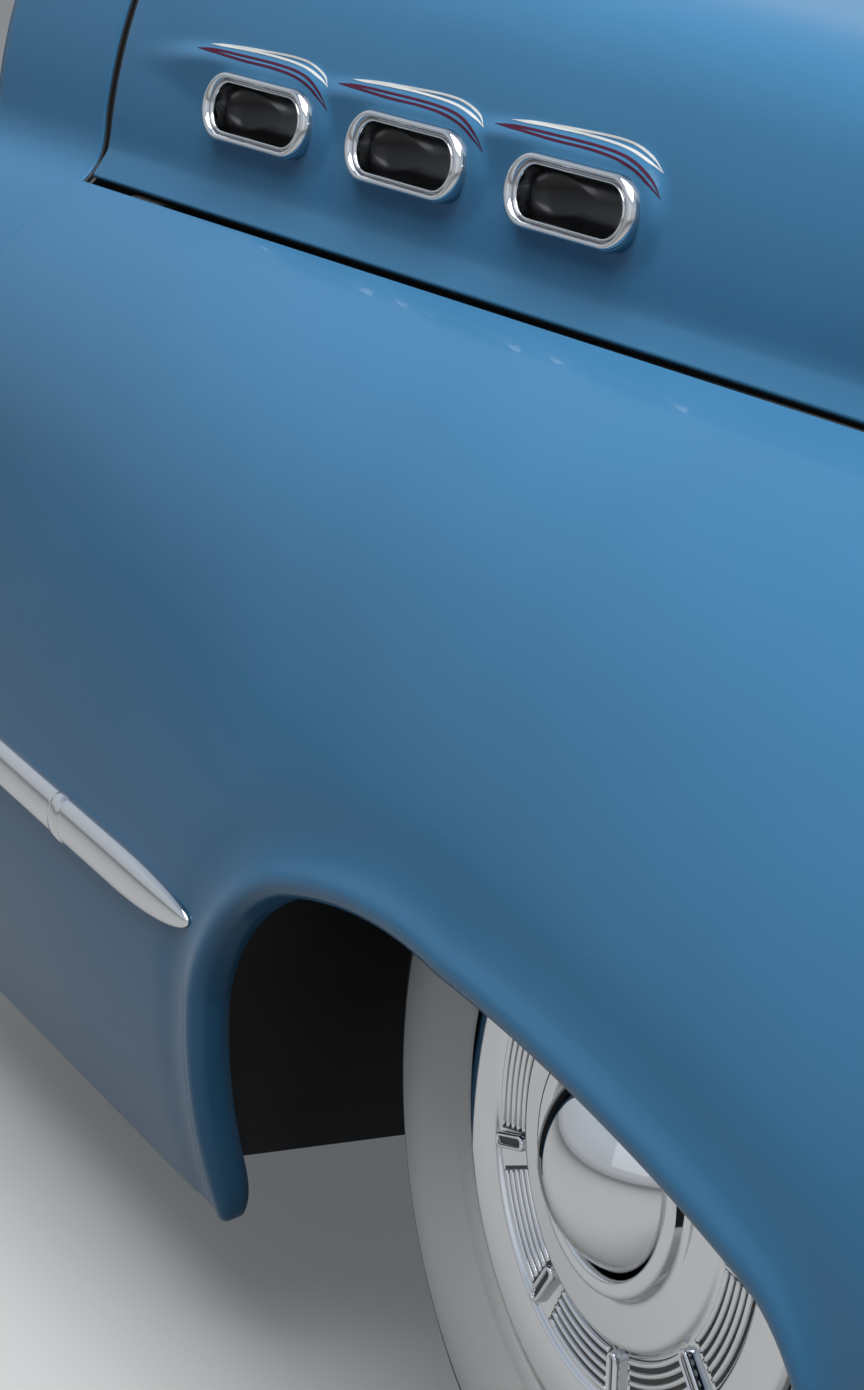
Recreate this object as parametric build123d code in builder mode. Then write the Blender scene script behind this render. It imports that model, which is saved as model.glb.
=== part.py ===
from build123d import *
from math import cos, sin, tan, radians, degrees, atan2, sqrt
import os

os.makedirs("parts", exist_ok=True)

# Right front corner of a 1950s family car, in millimetres.
# X runs forward from the front axle line, Y to the car's left from its centre plane, Z up from the axle.

# Skin and clearances
SKIN = 3.0
SEAT_GAP = 0.3
HOOD_GAP = 8.0
COWL_GAP = 12.0
PANEL_JOINT = 1.0
BORE_CLEAR = 0.05
LAMP_CLEAR = 1.0
CUP_CLEAR = 0.5
LENS_LAP = 1.7
SHELF_CLEAR = 1.0

# Lengths along the car
FENDER_REAR_X = -1020.0
FENDER_NOSE_X = 780.0
HOOD_NOSE_X = FENDER_NOSE_X - 80
COWL_REAR_X = FENDER_REAR_X - 190
FIREWALL_X = FENDER_REAR_X - 120
RADIATOR_X = FENDER_NOSE_X - 220
APRON_REAR_X = FENDER_REAR_X + 20
SHELF_FRONT_X = 200.0

# Widths across the car, out from the wheel's middle plane
HALF_TRACK = 750.0
WHEEL_Y = -HALF_TRACK
WIDEST_Y = WHEEL_Y - 220
CUT_Y = WIDEST_Y - 30
SEAM_REAR_Y = WIDEST_Y + 146
KINGPIN_Y = WHEEL_Y + 85
TOWER_OUT_Y = WHEEL_Y + 205
WALL_Y = WHEEL_Y + 260
SPRING_Y = WHEEL_Y + 265
UPPER_PIVOT_Y = WHEEL_Y + 275
RAIL_Y = WHEEL_Y + 350
LOWER_PIVOT_Y = WHEEL_Y + 450

# Heights over the wheel, up to the seam between hood and fender
BEAD_R = 194.0
WALL_HEIGHT = 151.0
TYRE_R = BEAD_R + WALL_HEIGHT
WELL_CLEAR = 83.0
WELL_R = TYRE_R + WELL_CLEAR
WELL_FOOT_Z = -180.0
SHELF_Z = WELL_R + SKIN + 5
SEAM_REAR_Z = SHELF_Z + 15
FLANGE_LEAST = 15.0
SEAM_SPLAY = 0.1413
SEAM_RISE = 0.0225
NOSE_DROP = 60.0

# Tyre and its white band
TYRE_WIDTH = 206.0
RIM_HALF = TYRE_WIDTH / 2 - 18
BEAD_HALF = RIM_HALF - 15.4
SHOULDER_DROP = 15.0
CROWN_RISE = 3.0
TREAD_HALF = TYRE_WIDTH / 2 - 43
TREAD_THICK = 14.0
WALL_THICK = 11.0
BEAD_THICK = 7.0
WHITE_LOW_R = BEAD_R + 18
WHITE_HIGH_R = TYRE_R - 53
WHITE_THICK = 2.5

# Steel wheel's rim, as (in from its edge, over the bead seat), one row for each bend
RIM_BENDS = [(0, 10), (4, 9.5), (14.7, -0.3), (29, -0.3), (41, -24)]
RIM_WALL = 3.0
RIM_FLARE = 2.0
DISC_PROFILE = [
    (-30, -26), (-27, -26), (-24, -44), (-24, -74), (-15, -98), (-15, -157.5), (-19, -157.5), (-19, -100),
    (-28, -76), (-28, -44), (-31, -34),
]

# Wheel cover, as (proud of the rim's edge, radius): its outer rings keep to the rim
COVER_FACE = [
    (1, BEAD_R + 13.5), (10, BEAD_R + 8), (10, BEAD_R - 28), (6, BEAD_R - 31), (6, BEAD_R - 70),
    (13, BEAD_R - 74), (13, 88), (24, 85), (24, 73), (13, 70.8),
]
COVER_THICK = 2.0
RIB_COUNT = 5
RIB_FIRST_R = BEAD_R - 65
RIB_PITCH = 7.0
RIB_BASE = 5.0
RIB_TOP = 8.5
RIB_HALF = 2.0
TAB_COUNT = 9
TAB_FIRST = -162.0
TAB_MIDDLE_R = BEAD_R - 50
TAB_LENGTH = 40.0
TAB_WIDTH = 11.0
TAB_HEIGHT = 6.0
DOME_R = 70.5
DOME_BASE = 17.0
DOME_TOP = 60.0

# Hood hinge, its pivot ahead of the firewall
HINGE_X = FENDER_REAR_X - 60
HINGE_Y = WHEEL_Y + 194
HINGE_Z = SEAM_REAR_Z + 229
HINGE_PIN_R = 6.0
HINGE_EYE_R = 14.0
HINGE_THICK = 8.0
HINGE_BAR = 18.0
HINGE_BENDS = [(0, 0), (36, -22), (140, -22), (190, 15), (200, 90)]

# Lamps in the fender's nose: height, radius, depth and back radius of the bucket
LAMP_Y = WHEEL_Y + 5
LAMPS = [
    dict(name="headlamp", z=235.0, r=90.0, depth=81.0, back_r=50.0),
    dict(name="parking_lamp", z=60.0, r=38.0, depth=34.0, back_r=21.0),
]
LAMP_RIM = 22.0
LENS_BULGE = 14.0

# Ports in the hood's side
PORT_COUNT = 3
PORT_REAR_X = FENDER_REAR_X + 225
PORT_PITCH = 200.0
PORT_UP = 87.0
PORT_LEAN = 7.5
PORT_LENGTH = 120.0
PORT_WIDTH = 38.0
BEZEL_LENGTH = 148.0
BEZEL_WIDTH = 56.0
BEZEL_HEIGHT = 8.0
BEZEL_MARGIN = 7.0
BOSS_HEIGHT = 7.0
BOSS_ROOT = 14.0
BOSS_LENGTH = 190.0
BOSS_TAIL = 40.0
BOSS_WIDTH = 88.0
CUP_LENGTH = 127.0
CUP_WIDTH = 44.0
CUP_DEPTH = 40.0
CUP_WALL = 2.0

# Side moulding
MOULD_Z = 22.0
MOULD_HEIGHT = 36.0
MOULD_DEPTH = 13.0
MOULD_TIP_X = -WELL_R + 19
MOULD_TAPER = 125.0
MOULD_EDGE = 5.0

# Frame rail, crossmember and its bolted flange at the centre plane
RAIL_WIDTH = 80.0
RAIL_HEIGHT = 90.0
RAIL_WALL = 4.0
FLANGE_THICK = 12.0
FLANGE_LENGTH = 230.0
FLANGE_HEIGHT = 144.0
BOLT_X = 180.0
BOLT_Z = 100.0
BOLT_R = 6.5
BEAM_WIDTH = 130.0
BEAM_HALF = 60.0
BEAM_WALL = 6.0
TOWER_TOP_Z = 100.0
TOWER_LOW_Z = 60.0
BRACKET_THICK = 12.0
BUMPER_BOLT_PITCH = 50.0

# Suspension, standing as it does under the car
ARM_THICK = 20.0
ARM_EYE_R = 30.0
ARM_WEB = 34.0
PIVOT_R = ARM_THICK / 2 + 4
UPPER_ARM_Z = 128.0
LOWER_ARM_Z = -113.0
SPRING_R = 48.0
SPRING_WIRE_R = 7.0
SPRING_TURNS = 4
SHOCK_R = 24.0
SHOCK_ROD_R = 9.0
SHOCK_SPLIT_Z = -20.0

# Steering knuckle, brake and tie rod
KINGPIN_R = 16.0
BARREL_R = 28.0
BARREL_GAP = 18.0
PIN_PROUD = 5.0
SPINDLE_R = 20.0
SPINDLE_END_Y = WHEEL_Y - 34
SPINDLE_BOSS_R = 40.0
SPINDLE_BOSS_LENGTH = 42.0
ARM_END_X = -165.0
ARM_END_Y = KINGPIN_Y + 35
ARM_OVER_ROD = 16.0
STEER_ARM_THICK = 16.0
STEER_ARM_R = 14.0
TIE_ROD_Z = -88.0
STUD_R = 8.0
TIE_ROD_EYE_R = 18.0
TIE_ROD_EYE_HEIGHT = 24.0
TIE_ROD_R = 10.0
TIE_ROD_END_Y = ARM_END_Y + 460
DRUM_R = BEAD_R - 42
DRUM_WALL = 10.0
HUB_R = 36.0

# Wheel arch in the fender's side: distance inside the well's end wall, and height
ARCH_TOP_X = -60.0
ARCH_TOP_Z = 118.0
ARCH_LIP_Y = WIDEST_Y + 28
ARCH_REAR = [(18, -260), (28, -140), (40, -31), (76, 38), (139, 87), (228, 112)]
ARCH_FRONT = [(10, -260), (12, -150), (20, -50), (40, 32), (104, 81), (288, 109)]


def seam_y(x):
    return SEAM_REAR_Y + SEAM_SPLAY * (x - FENDER_REAR_X)


def seam_z(x):
    fall = NOSE_DROP * (max(x, 0) / FENDER_NOSE_X) ** 2
    return SEAM_REAR_Z + SEAM_RISE * (x - FENDER_REAR_X) - fall


def biarc_joint(start, start_dir, end, end_dir, share=1.0):
    """Point and direction where two tangent arcs from start to end meet.

    share is the first arc's tangent length over the second's: a small one bends early.
    """
    v = end - start
    a = 2 * share * (start_dir.dot(end_dir) - 1)
    b = -2 * (share * v.dot(start_dir) + v.dot(end_dir))
    c = v.dot(v)
    second = (-b - sqrt(b * b - 4 * a * c)) / (2 * a)
    first = share * second
    near = start + start_dir * first
    far = end - end_dir * second
    joint = (near * second + far * first) * (1 / (first + second))
    return joint, (far - near).normalized()


def inward(direction):
    """Normal on the inner side of an outline that runs from the seam outward and down."""
    return Vector(-direction.Y, direction.X)


# Fender sections: place along the car, the top's fall at the seam in degrees, and the
# widest point and the bottom edge as a distance inboard of the widest line and a height.
FENDER_SECTIONS = [
    dict(x=FENDER_REAR_X, fall=34.0, wide_in=4.0, wide_z=30.0, low_in=58.0, low_z=-232.0),
    dict(x=-650.0, fall=22.0, wide_in=1.0, wide_z=22.0, low_in=58.0, low_z=-232.0),
    dict(x=-250.0, fall=16.0, wide_in=0.0, wide_z=20.0, low_in=58.0, low_z=-232.0),
    dict(x=200.0, fall=14.0, wide_in=0.0, wide_z=25.0, low_in=58.0, low_z=-228.0),
    dict(x=560.0, fall=14.0, wide_in=12.0, wide_z=45.0, low_in=70.0, low_z=-200.0),
    dict(x=700.0, fall=16.0, wide_in=30.0, wide_z=70.0, low_in=86.0, low_z=-170.0),
    dict(x=FENDER_NOSE_X, fall=17.0, wide_in=52.0, wide_z=90.0, low_in=108.0, low_z=-140.0),
]


def fender_points(row, inset, gap=HOOD_GAP):
    """Seam, shoulder, widest and bottom points of one section, moved inward by inset."""
    seam = Vector(seam_y(row["x"]) - gap, seam_z(row["x"]))
    wide = Vector(WIDEST_Y + row["wide_in"], row["wide_z"])
    low = Vector(WIDEST_Y + row["low_in"], row["low_z"])
    seam_dir = Vector(-cos(radians(row["fall"])), -sin(radians(row["fall"])))
    wide_dir = Vector(0, -1)
    shoulder, shoulder_dir = biarc_joint(seam, seam_dir, wide, wide_dir)
    chord = low - wide
    turn = 2 * atan2(chord.X, -chord.Y)
    low_dir = Vector(sin(turn), -cos(turn))
    pairs = [(seam, seam_dir), (shoulder, shoulder_dir), (wide, wide_dir), (low, low_dir)]
    return [(p + inward(d) * inset, d) for p, d in pairs]


def section_plane(x):
    """Plane across the car at x, whose own X is the car's Y and own Y is the car's Z."""
    return Plane(origin=(x, 0, 0), x_dir=(0, 1, 0), z_dir=(1, 0, 0))


def arcs_through(pairs):
    for (p, d), (q, _) in zip(pairs, pairs[1:]):
        TangentArc((p.X, p.Y), (q.X, q.Y), tangent=(d.X, d.Y))


def arcs_back(pairs):
    for (p, d), (q, _) in reversed(list(zip(pairs, pairs[1:]))):
        TangentArc((p.X, p.Y), (q.X, q.Y), tangent=(d.X, d.Y))


def fender_strip(row, gap=HOOD_GAP):
    """Skin section with the flange that turns down beside the hood."""
    outer = fender_points(row, 0, gap)
    inner = fender_points(row, SKIN, gap)
    foot = min(SHELF_Z + SEAT_GAP, outer[0][0].Y - FLANGE_LEAST)
    start, along = inner[0]
    slide = (start.X - outer[0][0].X + SKIN) / -along.X
    inner[0] = (start + along * slide, along)
    with BuildSketch(section_plane(row["x"])) as sketch:
        with BuildLine():
            arcs_through(outer)
            Line(outer[-1][0], inner[-1][0])
            arcs_back(inner)
            edge = outer[0][0]
            bend = inner[0][0]
            Polyline((bend.X, bend.Y), (bend.X, foot), (edge.X, foot), (edge.X, edge.Y))
        make_face()
    return sketch.sketch


def fender_block(row, inset, gap=HOOD_GAP):
    """Solid section from the arcs inboard to the wheelhouse's inner wall."""
    pairs = fender_points(row, inset, gap)
    top = pairs[0][0]
    low = pairs[-1][0]
    with BuildSketch(section_plane(row["x"])) as sketch:
        with BuildLine():
            arcs_through(pairs)
            Polyline((low.X, low.Y), (WALL_Y, low.Y), (WALL_Y, top.Y), (top.X, top.Y))
        make_face()
    return sketch.sketch


def nose_face(row):
    """Face that closes the fender's front, from the arcs to the seam edge."""
    pairs = fender_points(row, 0)
    top = pairs[0][0]
    low = pairs[-1][0]
    with BuildSketch(section_plane(row["x"])) as sketch:
        with BuildLine():
            arcs_through(pairs)
            Polyline((low.X, low.Y), (top.X, low.Y), (top.X, top.Y))
        make_face()
    return sketch.sketch


# Hood sections: place along the car, crown height over the seam's rear end, and height
# of the steep side over the seam.
FLARE_OUT = 17.0
FLARE_UP = 24.0
SIDE_LEAN = 20.0
CENTRE_FLANGE = 25.0
CENTRE_TRIM = 1.0
SHOULDER_SHARE = 0.2
HOOD_SECTIONS = [
    dict(x=FENDER_REAR_X, crown=309.0, side=187.0),
    dict(x=-600.0, crown=301.0, side=180.0),
    dict(x=-150.0, crown=279.0, side=165.0),
    dict(x=300.0, crown=241.0, side=140.0),
    dict(x=560.0, crown=194.0, side=112.0),
    dict(x=HOOD_NOSE_X, crown=144.0, side=88.0),
]


def hood_points(row, inset):
    """Seam, flare, side top, shoulder and crown points of one section, moved inward by inset."""
    seam = Vector(seam_y(row["x"]), seam_z(row["x"]))
    flare = seam + Vector(FLARE_OUT, FLARE_UP)
    lean = radians(SIDE_LEAN)
    radius = (row["side"] - FLARE_UP) / sin(lean)
    side = flare + Vector(radius * (1 - cos(lean)), radius * sin(lean))
    crown = Vector(0, SEAM_REAR_Z + row["crown"])
    turn = 2 * atan2(FLARE_OUT, FLARE_UP)
    side_dir = Vector(sin(lean), cos(lean))
    crown_dir = Vector(1, 0)
    shoulder, shoulder_dir = biarc_joint(side, side_dir, crown, crown_dir, SHOULDER_SHARE)
    dirs = [Vector(sin(turn), cos(turn)), Vector(0, 1), side_dir, shoulder_dir, crown_dir]
    points = [seam, flare, side, shoulder, crown]
    return [(p + Vector(d.Y, -d.X) * inset, d) for p, d in zip(points, dirs)]


def hood_strip(row):
    """Skin section with the flange at the centre plane, run past it to be trimmed there."""
    outer = hood_points(row, 0)
    inner = hood_points(row, SKIN)
    crown = outer[-1][0]
    under = inner[-1][0]
    inner[-1] = (under - Vector(SKIN, 0), inner[-1][1])
    foot = crown.Y - CENTRE_FLANGE
    with BuildSketch(section_plane(row["x"])) as sketch:
        with BuildLine():
            arcs_through(outer)
            Polyline((crown.X, crown.Y), (CENTRE_TRIM, crown.Y), (CENTRE_TRIM, foot), (-SKIN, foot),
                     (-SKIN, under.Y))
            arcs_back(inner)
            Line(inner[0][0], outer[0][0])
        make_face()
    return sketch.sketch


def hood_block(row, inset, low_z):
    """Solid section under the hood skin down to low_z."""
    pairs = hood_points(row, inset)
    foot = pairs[0][0]
    crown = pairs[-1][0]
    with BuildSketch(section_plane(row["x"])) as sketch:
        with BuildLine():
            arcs_through(pairs)
            Polyline((crown.X, crown.Y), (crown.X, low_z), (foot.X, low_z), (foot.X, foot.Y))
        make_face()
    return sketch.sketch


def write(piece, name):
    piece.part.label = name
    export_step(piece.part, f"parts/{name}.step")


def box_between(x, y, z):
    """Box given by its lowest and highest value on each axis."""
    with Locations(((x[0] + x[1]) / 2, (y[0] + y[1]) / 2, (z[0] + z[1]) / 2)):
        Box(x[1] - x[0], y[1] - y[0], z[1] - z[0])


def side_plane(y):
    """Plane along the car at y, its X forward and its Y up, facing the car's right."""
    return Plane(origin=(0, y, 0), x_dir=(1, 0, 0), z_dir=(0, -1, 0))


def cap_point(radius, base, top):
    """Point halfway up a round cap whose centre lies on its turning axis."""
    height = top - base
    ball = (radius ** 2 + height ** 2) / (2 * abs(height))
    sink = ball - sqrt(ball ** 2 - radius ** 2 / 4)
    return (top - sink * (1 if height > 0 else -1), radius / 2)


AXLE_PLANE = Plane(origin=(0, WHEEL_Y, 0), x_dir=(0, 1, 0), z_dir=(1, 0, 0))
AXLE = Axis((0, WHEEL_Y, 0), (0, 1, 0))


def turning_profiles(profiles):
    """Faces to turn about the axle, from outlines of (across, radius)."""
    faces = []
    for profile in profiles:
        with BuildSketch(AXLE_PLANE) as sketch:
            with BuildLine():
                Polyline(profile, close=True)
            make_face()
        faces += sketch.sketch.faces()
    return faces


# Blocks that trim what seats inside the skins
with BuildPart() as fender_core:
    for row in FENDER_SECTIONS:
        add(fender_block(row, 0))
    loft()

with BuildPart() as fender_room:
    for row in FENDER_SECTIONS:
        add(fender_block(row, SKIN + SEAT_GAP))
    loft()

with BuildPart() as hood_room:
    for row in HOOD_SECTIONS:
        add(hood_block(row, SKIN + SEAT_GAP, 0))
    loft()

# Fender with its rolled arch lip and nose
FENDER_PLANE = side_plane(CUT_Y)


def arch_outline():
    """Wheel opening in the side, low and long, its top falling slowly to the front."""
    rear = [(-WELL_R + inside, z) for inside, z in ARCH_REAR]
    front = [(WELL_R - inside, z) for inside, z in ARCH_FRONT]
    top = (ARCH_TOP_X, ARCH_TOP_Z)
    with BuildSketch(FENDER_PLANE) as outline:
        with BuildLine():
            ThreePointArc(*rear[0:3])
            ThreePointArc(*rear[2:5])
            ThreePointArc(rear[4], rear[5], top)
            ThreePointArc(top, front[5], front[4])
            ThreePointArc(front[4], front[3], front[2])
            ThreePointArc(front[2], front[1], front[0])
            Line(front[0], rear[0])
        make_face()
    return outline.sketch


def lamp_holes():
    """Faces of the lamp holes at the fender's nose."""
    with BuildSketch(Plane(origin=(FENDER_NOSE_X, 0, 0), x_dir=(0, 1, 0), z_dir=(1, 0, 0))) as holes:
        for lamp in LAMPS:
            with Locations((LAMP_Y, lamp["z"])):
                Circle(lamp["r"] + LAMP_CLEAR)
    return holes.sketch


with BuildPart() as arch_lip:
    extrude(offset(arch_outline(), amount=SKIN, mode=Mode.PRIVATE), amount=CUT_Y - ARCH_LIP_Y)
    extrude(arch_outline(), amount=CUT_Y - WALL_Y, mode=Mode.SUBTRACT)
    add(fender_core.part, mode=Mode.INTERSECT)

with BuildPart() as fender:
    for row in FENDER_SECTIONS:
        add(fender_strip(row))
    loft()
    extrude(nose_face(FENDER_SECTIONS[-1]), amount=-SKIN)
    extrude(arch_outline(), amount=CUT_Y - WALL_Y, mode=Mode.SUBTRACT)
    add(arch_lip.part)
    with BuildSketch(Plane.XY.offset(SHELF_Z + SEAT_GAP)):
        with BuildLine():
            out = HOOD_GAP + SKIN + 2 * SHELF_CLEAR
            rear = FENDER_REAR_X
            front = SHELF_FRONT_X
            Polyline((rear, seam_y(rear) - out), (front, seam_y(front) - out), (front, seam_y(front)),
                     (rear, seam_y(rear)), close=True)
        make_face()
    extrude(amount=-3 * FLANGE_LEAST, mode=Mode.SUBTRACT)
    extrude(lamp_holes(), amount=-10 * SKIN, mode=Mode.SUBTRACT)
write(fender, "fender")

# Cowl panel behind the hood and fender
with BuildPart() as cowl_panel:
    cowl_top = dict(HOOD_SECTIONS[0])
    for x in (FENDER_REAR_X - COWL_GAP, COWL_REAR_X):
        cowl_top["x"] = x
        add(hood_strip(cowl_top))
    loft()
    cowl_side = dict(FENDER_SECTIONS[0])
    for x in (FENDER_REAR_X - PANEL_JOINT, COWL_REAR_X):
        cowl_side["x"] = x
        add(fender_strip(cowl_side, -SKIN))
    loft()
    split(bisect_by=Plane.XZ, keep=Keep.TOP)
write(cowl_panel, "cowl_panel")

# Hood with its port bosses, holes and centre flange
def port_plane(number):
    """Plane of one port's boss top, its X forward along the seam and Z outward."""
    x = PORT_REAR_X + number * PORT_PITCH
    splay = atan2(SEAM_SPLAY, 1)
    lean = radians(PORT_LEAN)
    out = Vector(sin(splay) * cos(lean), -cos(splay) * cos(lean), sin(lean))
    along = Vector(cos(splay), sin(splay), SEAM_RISE)
    height = PORT_UP - FLARE_UP
    y = seam_y(x) + FLARE_OUT + height * tan(lean) / 2 - BOSS_HEIGHT
    return Plane(origin=(x, y, seam_z(x) + PORT_UP), x_dir=along, z_dir=out)


with BuildPart() as hood:
    for row in HOOD_SECTIONS:
        add(hood_strip(row))
    loft()
    for number in range(PORT_COUNT):
        seat = port_plane(number)
        with BuildSketch(seat.offset(-BOSS_ROOT)):
            with Locations((-BOSS_TAIL / 2, 0)):
                SlotOverall(BOSS_LENGTH + BOSS_TAIL, BOSS_WIDTH)
        with BuildSketch(seat):
            SlotOverall(BEZEL_LENGTH + 2 * BEZEL_MARGIN, BEZEL_WIDTH + 2 * BEZEL_MARGIN)
        loft()
    add(hood_room.part, mode=Mode.SUBTRACT)
    for number in range(PORT_COUNT):
        with BuildSketch(port_plane(number)):
            SlotOverall(CUP_LENGTH + 2 * CUP_CLEAR, CUP_WIDTH + 2 * CUP_CLEAR)
        extrude(amount=-4 * BOSS_ROOT, mode=Mode.SUBTRACT)
    split(bisect_by=Plane.XZ, keep=Keep.TOP)
write(hood, "hood")

# Chrome bezels round the ports and the black cups behind them
for number in range(PORT_COUNT):
    seat = port_plane(number)
    with BuildPart() as port_bezel:
        with BuildSketch(seat):
            SlotOverall(BEZEL_LENGTH, BEZEL_WIDTH)
            SlotOverall(PORT_LENGTH, PORT_WIDTH, mode=Mode.SUBTRACT)
        extrude(amount=BEZEL_HEIGHT)
    with BuildPart() as port_cup:
        with BuildSketch(seat):
            SlotOverall(CUP_LENGTH, CUP_WIDTH)
        extrude(amount=-CUP_DEPTH)
        with BuildSketch(seat):
            SlotOverall(CUP_LENGTH - 2 * CUP_WALL, CUP_WIDTH - 2 * CUP_WALL)
        extrude(amount=-(CUP_DEPTH - CUP_WALL), mode=Mode.SUBTRACT)
    write(port_bezel, f"port_bezel_{number + 1}")
    write(port_cup, f"port_cup_{number + 1}")

# Chrome moulding along the fender's side, bullet-tipped behind the arch
with BuildPart() as side_moulding:
    half = MOULD_HEIGHT / 2
    taper_x = MOULD_TIP_X - MOULD_TAPER
    bend_x = taper_x + 0.62 * MOULD_TAPER
    bend = 0.6 * half
    with BuildSketch(side_plane(WIDEST_Y + MOULD_DEPTH)):
        with BuildLine():
            Polyline((taper_x, MOULD_Z - half), (FENDER_REAR_X, MOULD_Z - half),
                     (FENDER_REAR_X, MOULD_Z + half), (taper_x, MOULD_Z + half))
            ThreePointArc((taper_x, MOULD_Z + half),
                          (bend_x, MOULD_Z + bend), (MOULD_TIP_X, MOULD_Z))
            ThreePointArc((MOULD_TIP_X, MOULD_Z),
                          (bend_x, MOULD_Z - bend), (taper_x, MOULD_Z - half))
        make_face()
    extrude(amount=2 * MOULD_DEPTH)
    chamfer(side_moulding.faces().sort_by(Axis.Y)[0].edges(), MOULD_EDGE)
    add(fender_core.part, mode=Mode.SUBTRACT)
    add(fender.part, mode=Mode.SUBTRACT)
write(side_moulding, "side_moulding")

# Lamps: chrome rim, reflector bucket and domed lens
for lamp in LAMPS:
    z = lamp["z"]
    r = lamp["r"]
    axis = Axis((0, LAMP_Y, z), (1, 0, 0))
    face = Plane(origin=(0, LAMP_Y, z), x_dir=(1, 0, 0), z_dir=(0, -1, 0))
    front = FENDER_NOSE_X + SEAT_GAP
    back = front - lamp["depth"]
    with BuildPart() as bezel:
        with BuildSketch(face):
            with BuildLine():
                Line((front, r + 2), (front, r + LAMP_RIM))
                ThreePointArc((front, r + LAMP_RIM), (front + 16, r + 12), (front + 12, r + 2))
                Line((front + 12, r + 2), (front, r + 2))
            make_face()
        revolve(axis=axis)
    write(bezel, f"{lamp['name']}_bezel")
    with BuildPart() as bucket:
        with BuildSketch(face):
            with BuildLine():
                Polyline((front, r), (back, lamp["back_r"]), (back, 0), (back + SKIN, 0),
                         (back + SKIN, lamp["back_r"] - 2), (front, r - 4), close=True)
            make_face()
        revolve(axis=axis)
    write(bucket, f"{lamp['name']}_bucket")
    with BuildPart() as lens:
        seat = front + SEAT_GAP
        rim = (front + 4, r + LENS_LAP)
        top = (front + LENS_BULGE, 0)
        with BuildSketch(face):
            with BuildLine():
                Polyline(top, (seat, 0), (seat, rim[1]), rim)
                ThreePointArc(rim, cap_point(rim[1], rim[0], top[0]), top)
            make_face()
        revolve(axis=axis)
    write(lens, f"{lamp['name']}_lens")

# Wheelhouse roof over the tyre with its splash walls, and the inner apron with its shelf
with BuildPart() as wheelhouse:
    for r, mode in ((WELL_R + SKIN, Mode.ADD), (WELL_R, Mode.SUBTRACT)):
        with BuildSketch(side_plane(WALL_Y - SKIN - SEAT_GAP)):
            with BuildLine():
                Polyline((-r, 0), (-r, WELL_FOOT_Z), (r, WELL_FOOT_Z), (r, 0))
                ThreePointArc((r, 0), (0, r), (-r, 0))
            make_face()
        extrude(amount=WALL_Y - CUT_Y, mode=mode)
    add(fender_room.part, mode=Mode.INTERSECT)
write(wheelhouse, "wheelhouse")

# Inner apron with its cut-out for the spring tower, and the shelf under the seam
APRON_OUTLINE = [
    (APRON_REAR_X, SHELF_Z), (APRON_REAR_X, 200), (-WELL_R - 52, 60), (-WELL_R - 52, -100), (-200, -100),
    (-200, 220), (200, 220), (200, -100), (WELL_R + 52, -100), (RADIATOR_X, 60), (RADIATOR_X, SHELF_Z),
]
with BuildPart() as inner_apron:
    with BuildSketch(side_plane(WALL_Y)):
        with BuildLine():
            Polyline(APRON_OUTLINE, close=True)
        make_face()
    extrude(amount=SKIN)
    with BuildSketch(Plane.XY.offset(SHELF_Z - SKIN)):
        with BuildLine():
            out = HOOD_GAP + SKIN + SHELF_CLEAR
            front = SHELF_FRONT_X - SKIN
            Polyline((APRON_REAR_X, WALL_Y), (APRON_REAR_X, seam_y(APRON_REAR_X) - out),
                     (front, seam_y(front) - out), (front, WALL_Y), close=True)
        make_face()
    extrude(amount=SKIN)
write(inner_apron, "inner_apron")

# Rubber buffers that the closed hood rests on
BUFFER_HALF = 20.0
BUFFER_PLACES = (FENDER_REAR_X + 90, SHELF_FRONT_X - 110)
for number, x in enumerate(BUFFER_PLACES):
    with BuildPart() as buffer:
        top = seam_z(x - BUFFER_HALF) - SKIN - 3 * SEAT_GAP
        box_between((x - BUFFER_HALF, x + BUFFER_HALF), (seam_y(x) - SKIN, seam_y(x) + BUFFER_HALF),
                    (SHELF_Z, top))
    write(buffer, f"hood_buffer_{number + 1}")

# Firewall, its foot cut away over the rail and the engine
FLOOR_Y = RAIL_Y - 100
FLOOR_Z = 20.0
with BuildPart() as firewall:
    wall = dict(HOOD_SECTIONS[0], x=FIREWALL_X)
    side = dict(FENDER_SECTIONS[0], x=FIREWALL_X)
    top_arcs = hood_points(wall, SKIN + PANEL_JOINT)
    side_arcs = fender_points(side, SKIN + PANEL_JOINT, -SKIN)
    side_arcs[0] = (side_arcs[0][0] + side_arcs[0][1] * (3 * SKIN), side_arcs[0][1])
    with BuildSketch(section_plane(wall["x"])):
        with BuildLine():
            arcs_through(top_arcs)
            arcs_through(side_arcs)
            low = side_arcs[-1][0]
            crown = top_arcs[-1][0]
            start = top_arcs[0][0]
            meet = side_arcs[0][0]
            Line((start.X, start.Y), (meet.X, meet.Y))
            Polyline((low.X, low.Y), (FLOOR_Y, low.Y), (FLOOR_Y, FLOOR_Z), (crown.X, FLOOR_Z),
                     (crown.X, crown.Y))
        make_face()
    extrude(amount=-SKIN)
    add(cowl_panel.part, mode=Mode.SUBTRACT)
write(firewall, "firewall")

# Frame rail, kicked up over the axle: its lower line seen from the side
RAIL_LINE = [
    (COWL_REAR_X, -185), (FENDER_REAR_X + 260, -185), (-420, TOWER_TOP_Z + SEAT_GAP),
    (420, TOWER_TOP_Z + SEAT_GAP), (RADIATOR_X + 40, 40), (FENDER_NOSE_X - 40, 40),
]


def rail_low(x):
    """Height of the rail's lower line at x."""
    for (x0, z0), (x1, z1) in zip(RAIL_LINE, RAIL_LINE[1:]):
        if x0 <= x <= x1:
            return z0 + (z1 - z0) * (x - x0) / (x1 - x0)


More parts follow.
